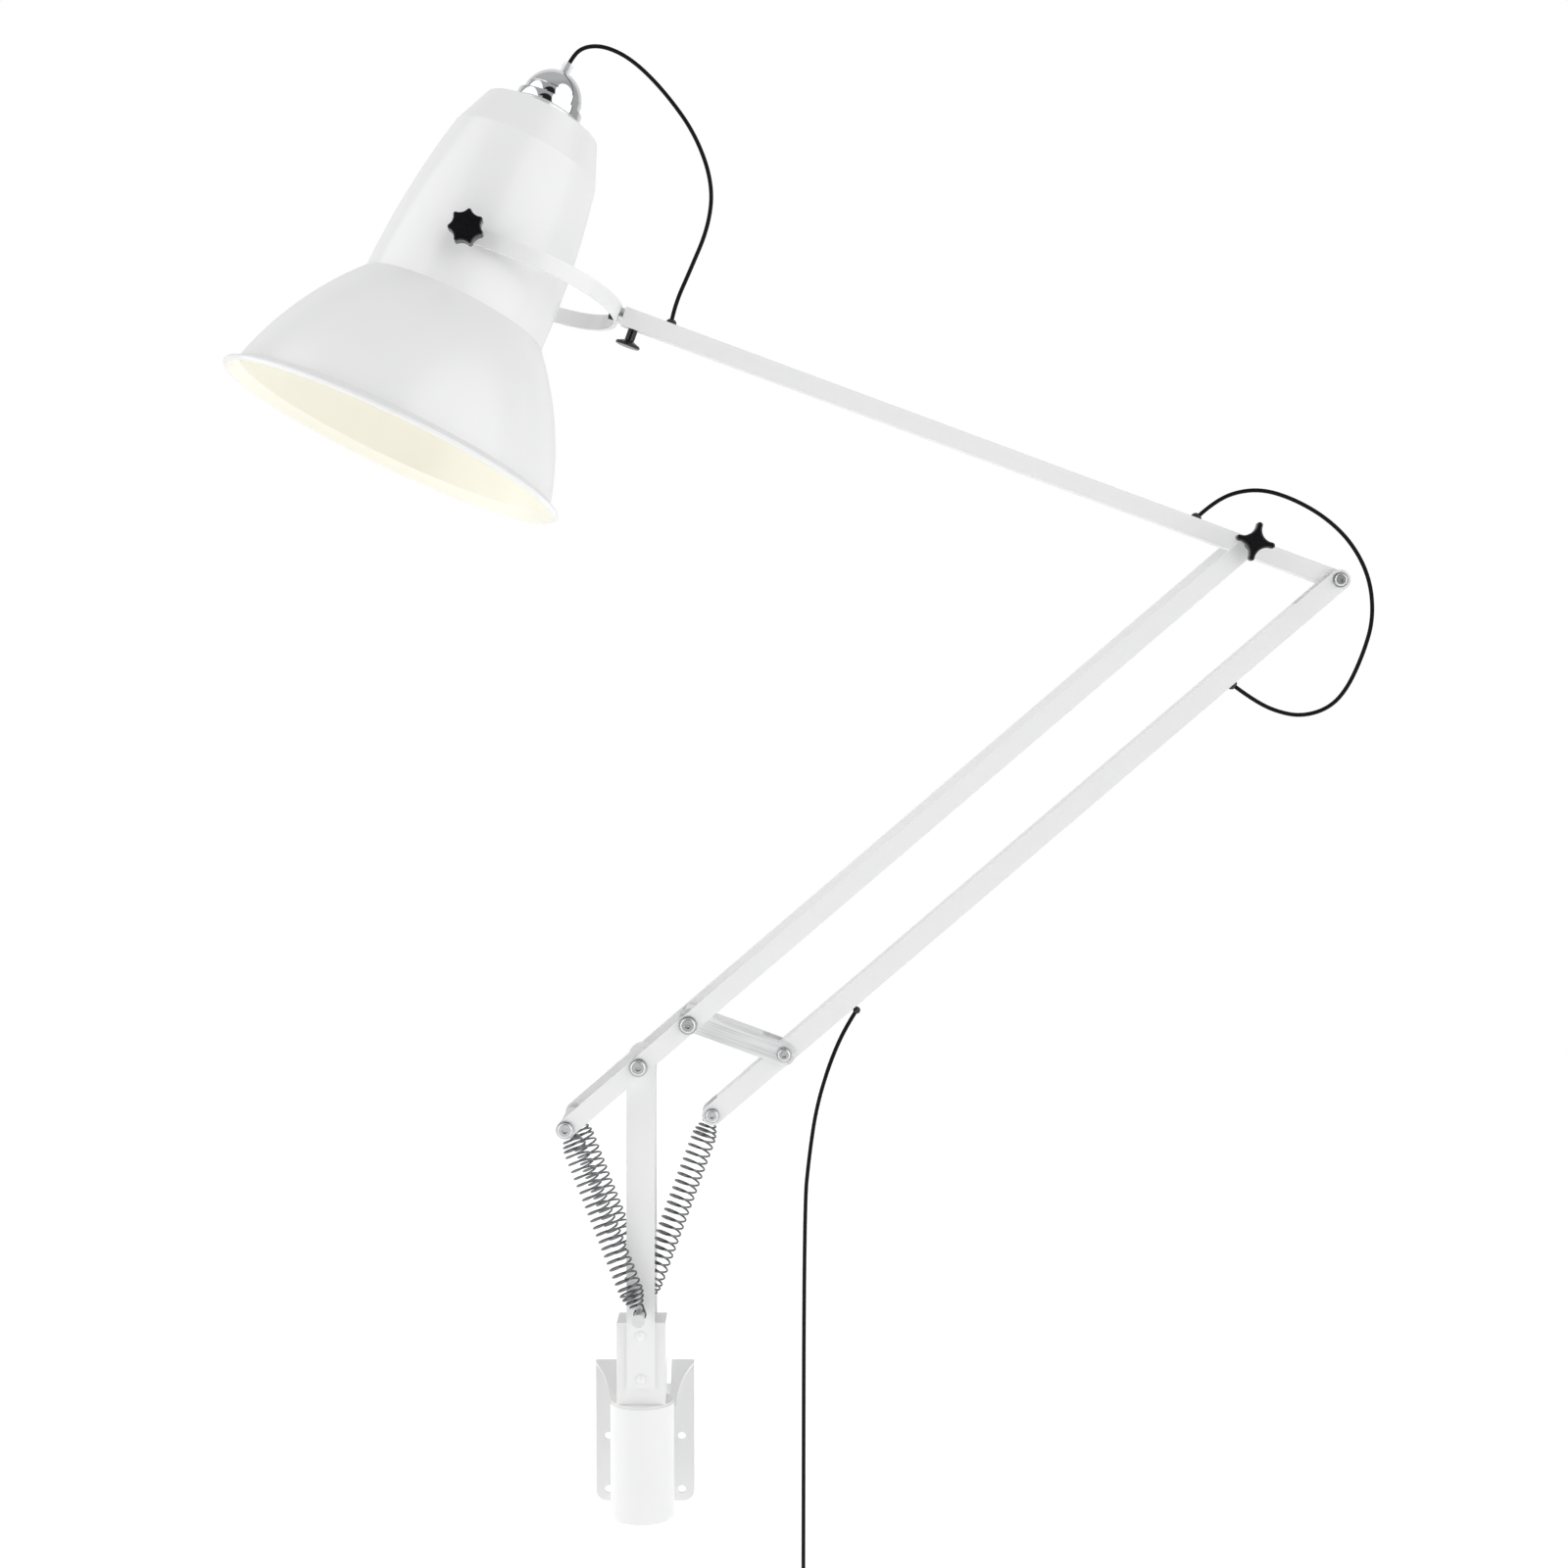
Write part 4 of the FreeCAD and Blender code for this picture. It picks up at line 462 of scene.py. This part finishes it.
clear = Finish("clear_sleeve", {"Base Color": (0.93, 0.94, 0.95, 1), "Roughness": 0.08,
                                "Alpha": 0.3})
clear.vary("Roughness", clear.between(clear.noise(300), 0.3, 0.7, 0.05, 0.14))
on_shade("gland_sleeve",
         [(0.0062, 0.0568), (0.0066, 0.0572), (0.0070, 0.0640), (0.0076, 0.0716),
          (0.0072, 0.0722), (0.0062, 0.0720), (0.0054, 0.0640), (0.0048, 0.0570)],
         clear, "cord_gland")


# ------------------------------------------------------------------ balance springs
# Three extension springs of polished steel wire, wound with closer turns at the ends.
# Each narrows into an eye there: two pull on the lower arm's tail, one on the rear bar's.

WIRE = 0.0028
EYE = 0.0076
SPRING_RADIUS = 0.0161
SPRING_TURNS = 28
CLOSE_TURNS = 4
CLOSE_SHARE = 0.6

# Painted reflection: the bright steel wire's colour is made dark, standing in for the dark
# surroundings it reflects.
wire_steel = Finish("spring_wire", {"Base Color": (0.16, 0.165, 0.172, 1), "Metallic": 1.0,
                                    "Roughness": 0.12})
grain = wire_steel.noise(1600, detail=2.0)
wire_steel.vary("Roughness", wire_steel.between(grain, 0.3, 0.7, 0.08, 0.17))
wire_steel.vary("Base Color", wire_steel.colour(wire_steel.noise(90), (0.13, 0.134, 0.14, 1),
                                                (0.19, 0.194, 0.2, 1)))


def spring_path(start, end):
    """The wire's line: an eye round each pin, a short neck, and turns that swell between."""
    rise = (end - start).normalized()
    across = Vector((0, 1, 0))
    outwards = across.cross(rise)
    length = (end - start).length
    neck = 0.006
    shoulder = 0.005
    low = neck + shoulder
    first = math.asin(shoulder / EYE)
    last = 2 * math.pi * SPRING_TURNS - first
    turns = (last - first) / (2 * math.pi)
    pitch = (length - 2 * low) / (turns - 2 * CLOSE_TURNS * (1 - CLOSE_SHARE))
    sweep = math.radians(250)
    eye_steps = 18
    coil_steps = 22 * SPRING_TURNS

    def turn(angle):
        done = (angle - first) / (2 * math.pi)
        left = (last - angle) / (2 * math.pi)
        swell = min(1.0, done / CLOSE_TURNS, left / CLOSE_TURNS)
        reach = EYE + (SPRING_RADIUS - EYE) * math.sin(math.pi / 2 * swell)
        saved = (1 - CLOSE_SHARE) * (min(done, CLOSE_TURNS) + max(0.0, CLOSE_TURNS - left))
        return Vector((reach * math.cos(angle), reach * math.sin(angle),
                       low + pitch * (done - saved)))

    lower = [Vector((EYE * math.cos(angle), 0, EYE * math.sin(angle)))
             for angle in (sweep * (step / eye_steps - 1) for step in range(eye_steps + 1))]
    coil = [turn(first + (last - first) * step / coil_steps) for step in range(coil_steps + 1)]
    upper = [Vector((point.x, -point.y, length - point.z)) for point in reversed(lower)]

    def elbow(corner, corner_way, point, way):
        reach = (point - corner).length * 0.4
        return interpolate_bezier(corner, corner + corner_way * reach,
                                  point - way * reach, point, 7)[1:-1]

    up = Vector((0, 0, 1))
    way_in = (coil[1] - coil[0]).normalized()
    way_out = (coil[-1] - coil[-2]).normalized()
    bottom = Vector((EYE, 0, neck))
    top = Vector((EYE, 0, length - neck))
    line = lower + [bottom] + elbow(bottom, up, coil[0], way_in) + coil
    line += elbow(coil[-1], way_out, top, up) + [top] + upper
    return [start + outwards * point.x + across * point.y + rise * point.z for point in line]


def balance_spring(name, node, start, end):
    spring = round_tube(name, spring_path(start, end), WIRE / 2, 10)
    spring.data.materials.append(wire_steel.material)
    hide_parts(node)
    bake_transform(spring)


base_pin = Vector((0, 0, 0.1946))
arm_tail = Vector((-0.0971867, 0, 0.4483990))
bar_tail = Vector((0.0965, 0, 0.45806))
for name, node, tail, place in (("near_spring", "spring_near", arm_tail, -0.130),
                                ("far_spring", "spring_far", arm_tail, -0.026),
                                ("middle_spring", "spring_mid", bar_tail, ARM_PLANE)):
    level = Vector((0, place, 0))
    balance_spring(name, node, base_pin + level, tail + level)


# ------------------------------------------------------------------ black fittings
# Knobs, swivel nut, socket cap and plug are moulded in a hard black plastic with a soft
# shine. The boots where the flex meets the arms, the knuckle that the mains flex hangs from,
# the coil's tie and the plug's sleeve are matt rubber.

moulded = Finish("black_moulding", {"Base Color": (0.005, 0.005, 0.006, 1), "Roughness": 0.26,
                                    "Specular IOR Level": 0.3, "Coat Weight": 0.35,
                                    "Coat Roughness": 0.05})
skin = moulded.noise(700, detail=3.0)
moulded.vary("Roughness", moulded.between(skin, 0.3, 0.7, 0.2, 0.32))
moulded.vary("Base Color", moulded.colour(moulded.noise(50), (0.003, 0.003, 0.004, 1),
                                          (0.007, 0.007, 0.008, 1)))
moulded.relief(skin, 0.00002)
dress(moulded, "thumb_knob", "elbow_knob", "shade_knob_near", "shade_knob_far", "swivel_nut",
      "socket_cap", "mains_plug")

rubber = Finish("black_rubber", {"Base Color": (0.02, 0.02, 0.021, 1), "Roughness": 0.6})
bloom = rubber.noise(500, detail=3.0)
rubber.vary("Roughness", rubber.between(bloom, 0.3, 0.7, 0.52, 0.72))
rubber.vary("Base Color", rubber.colour(rubber.noise(80), (0.016, 0.016, 0.017, 1),
                                        (0.028, 0.028, 0.029, 1)))
rubber.relief(bloom, 0.00005)
dress(rubber, "arm_grommets", "rear_bar_grommets", "mains_knuckle", "cord_tie")
plug_sleeve.data.materials.append(rubber.material)


# ------------------------------------------------------------------ lamp holder and bushes
# The holder hangs in the neck of the shade, a heat proof moulding in off white. The two
# bushes that the post turns in are white nylon, pressed into the bracket's tube.

holder = Finish("holder_moulding", {"Base Color": (0.72, 0.70, 0.64, 1), "Roughness": 0.5})
pores = holder.noise(600, detail=3.0)
holder.vary("Roughness", holder.between(pores, 0.3, 0.7, 0.44, 0.6))
holder.vary("Base Color", holder.colour(holder.noise(40), (0.68, 0.66, 0.60, 1),
                                        (0.75, 0.73, 0.67, 1)))
dress(holder, "lamp_holder")

nylon = Finish("bush_nylon", {"Base Color": (0.82, 0.82, 0.81, 1), "Roughness": 0.45})
nylon.vary("Roughness", nylon.between(nylon.noise(500), 0.3, 0.7, 0.4, 0.52))
nylon.vary("Base Color", nylon.colour(nylon.noise(40), (0.80, 0.80, 0.79, 1),
                                      (0.84, 0.84, 0.83, 1)))
dress(nylon, "upper_bush", "lower_bush")


# ------------------------------------------------------------------ studio
# A white room with a pale floor below the lamp. Wide soft boxes stand at the camera's left
# and right, with a dark gap between them and a grey ceiling, as bright metal shows.

HALF_FLOOR = 6
FLOOR_LEVEL = -0.42
corners = [(x * HALF_FLOOR, y * HALF_FLOOR, FLOOR_LEVEL)
           for x, y in ((-1, -1), (1, -1), (1, 1), (-1, 1))]
floor_mesh = bpy.data.meshes.new("studio_floor")
floor_mesh.from_pydata(corners, [], [(0, 1, 2, 3)])
floor = bpy.data.objects.new("studio_floor", floor_mesh)
bpy.context.scene.collection.objects.link(floor)
pale = Finish("pale_floor", {"Base Color": (0.8, 0.8, 0.8, 1), "Roughness": 1.0,
                             "Specular IOR Level": 0.0, "Emission Color": (1, 1, 1, 1),
                             "Emission Strength": 0.5})
floor_mesh.materials.append(pale.material)

world = bpy.data.worlds.new("studio_air")
bpy.context.scene.world = world
world.use_nodes = True
air = Nodes(world.node_tree)
way = air.node("ShaderNodeTexCoord", {}, {}, output="Generated")


def panel(direction, edge, core, power, height=1.0):
    """A soft edged patch of light, or of dark, in one direction from the lamp."""
    flat = Vector((1, 1, 1 / height))
    ray = air.node("ShaderNodeVectorMath", {"operation": "NORMALIZE"}, {
        0: air.node("ShaderNodeVectorMath", {"operation": "MULTIPLY"}, {0: way, 1: flat})})
    middle = (Vector(direction) * flat).normalized()
    return air.between(air.dot(ray, middle), edge, core, 0.0, power)


glow = (0.42 + panel((-0.97, -0.28, 0.25), 0.67, 0.74, 1.2)
        + panel((0.85, -0.52, 0.25), 0.79, 0.85, 1.36)
        + panel((0, 0.15, 1), 0.75, 0.92, 0.1) + panel((0, 1, 0.3), 0.6, 0.85, 0.35)
        + panel((-0.08, -1, 0.3), 0.86, 0.89, -0.4))
seen = air.node("ShaderNodeLightPath", {}, {}, output="Is Camera Ray")
strength = glow * (1 - seen) + seen
backdrop = world.node_tree.nodes["Background"]
backdrop.inputs["Color"].default_value = (1, 1, 1, 1)
world.node_tree.links.new(strength.socket, backdrop.inputs["Strength"])

for name, place, power, size in (("key_light", (-1.6, -2.6, 3.0), 4, 1.8),
                                 ("fill_light", (2.6, -2.2, 1.6), 1, 1.4)):
    lamp = bpy.data.lights.new(name, "AREA")
    lamp.energy = power
    lamp.size = size
    light = bpy.data.objects.new(name, lamp)
    light.location = place
    towards = Vector((0.2, -0.1, 0.9)) - light.location
    light.rotation_euler = towards.to_track_quat("-Z", "Y").to_euler()
    bpy.context.scene.collection.objects.link(light)
bpy.context.scene.view_settings.view_transform = "Standard"
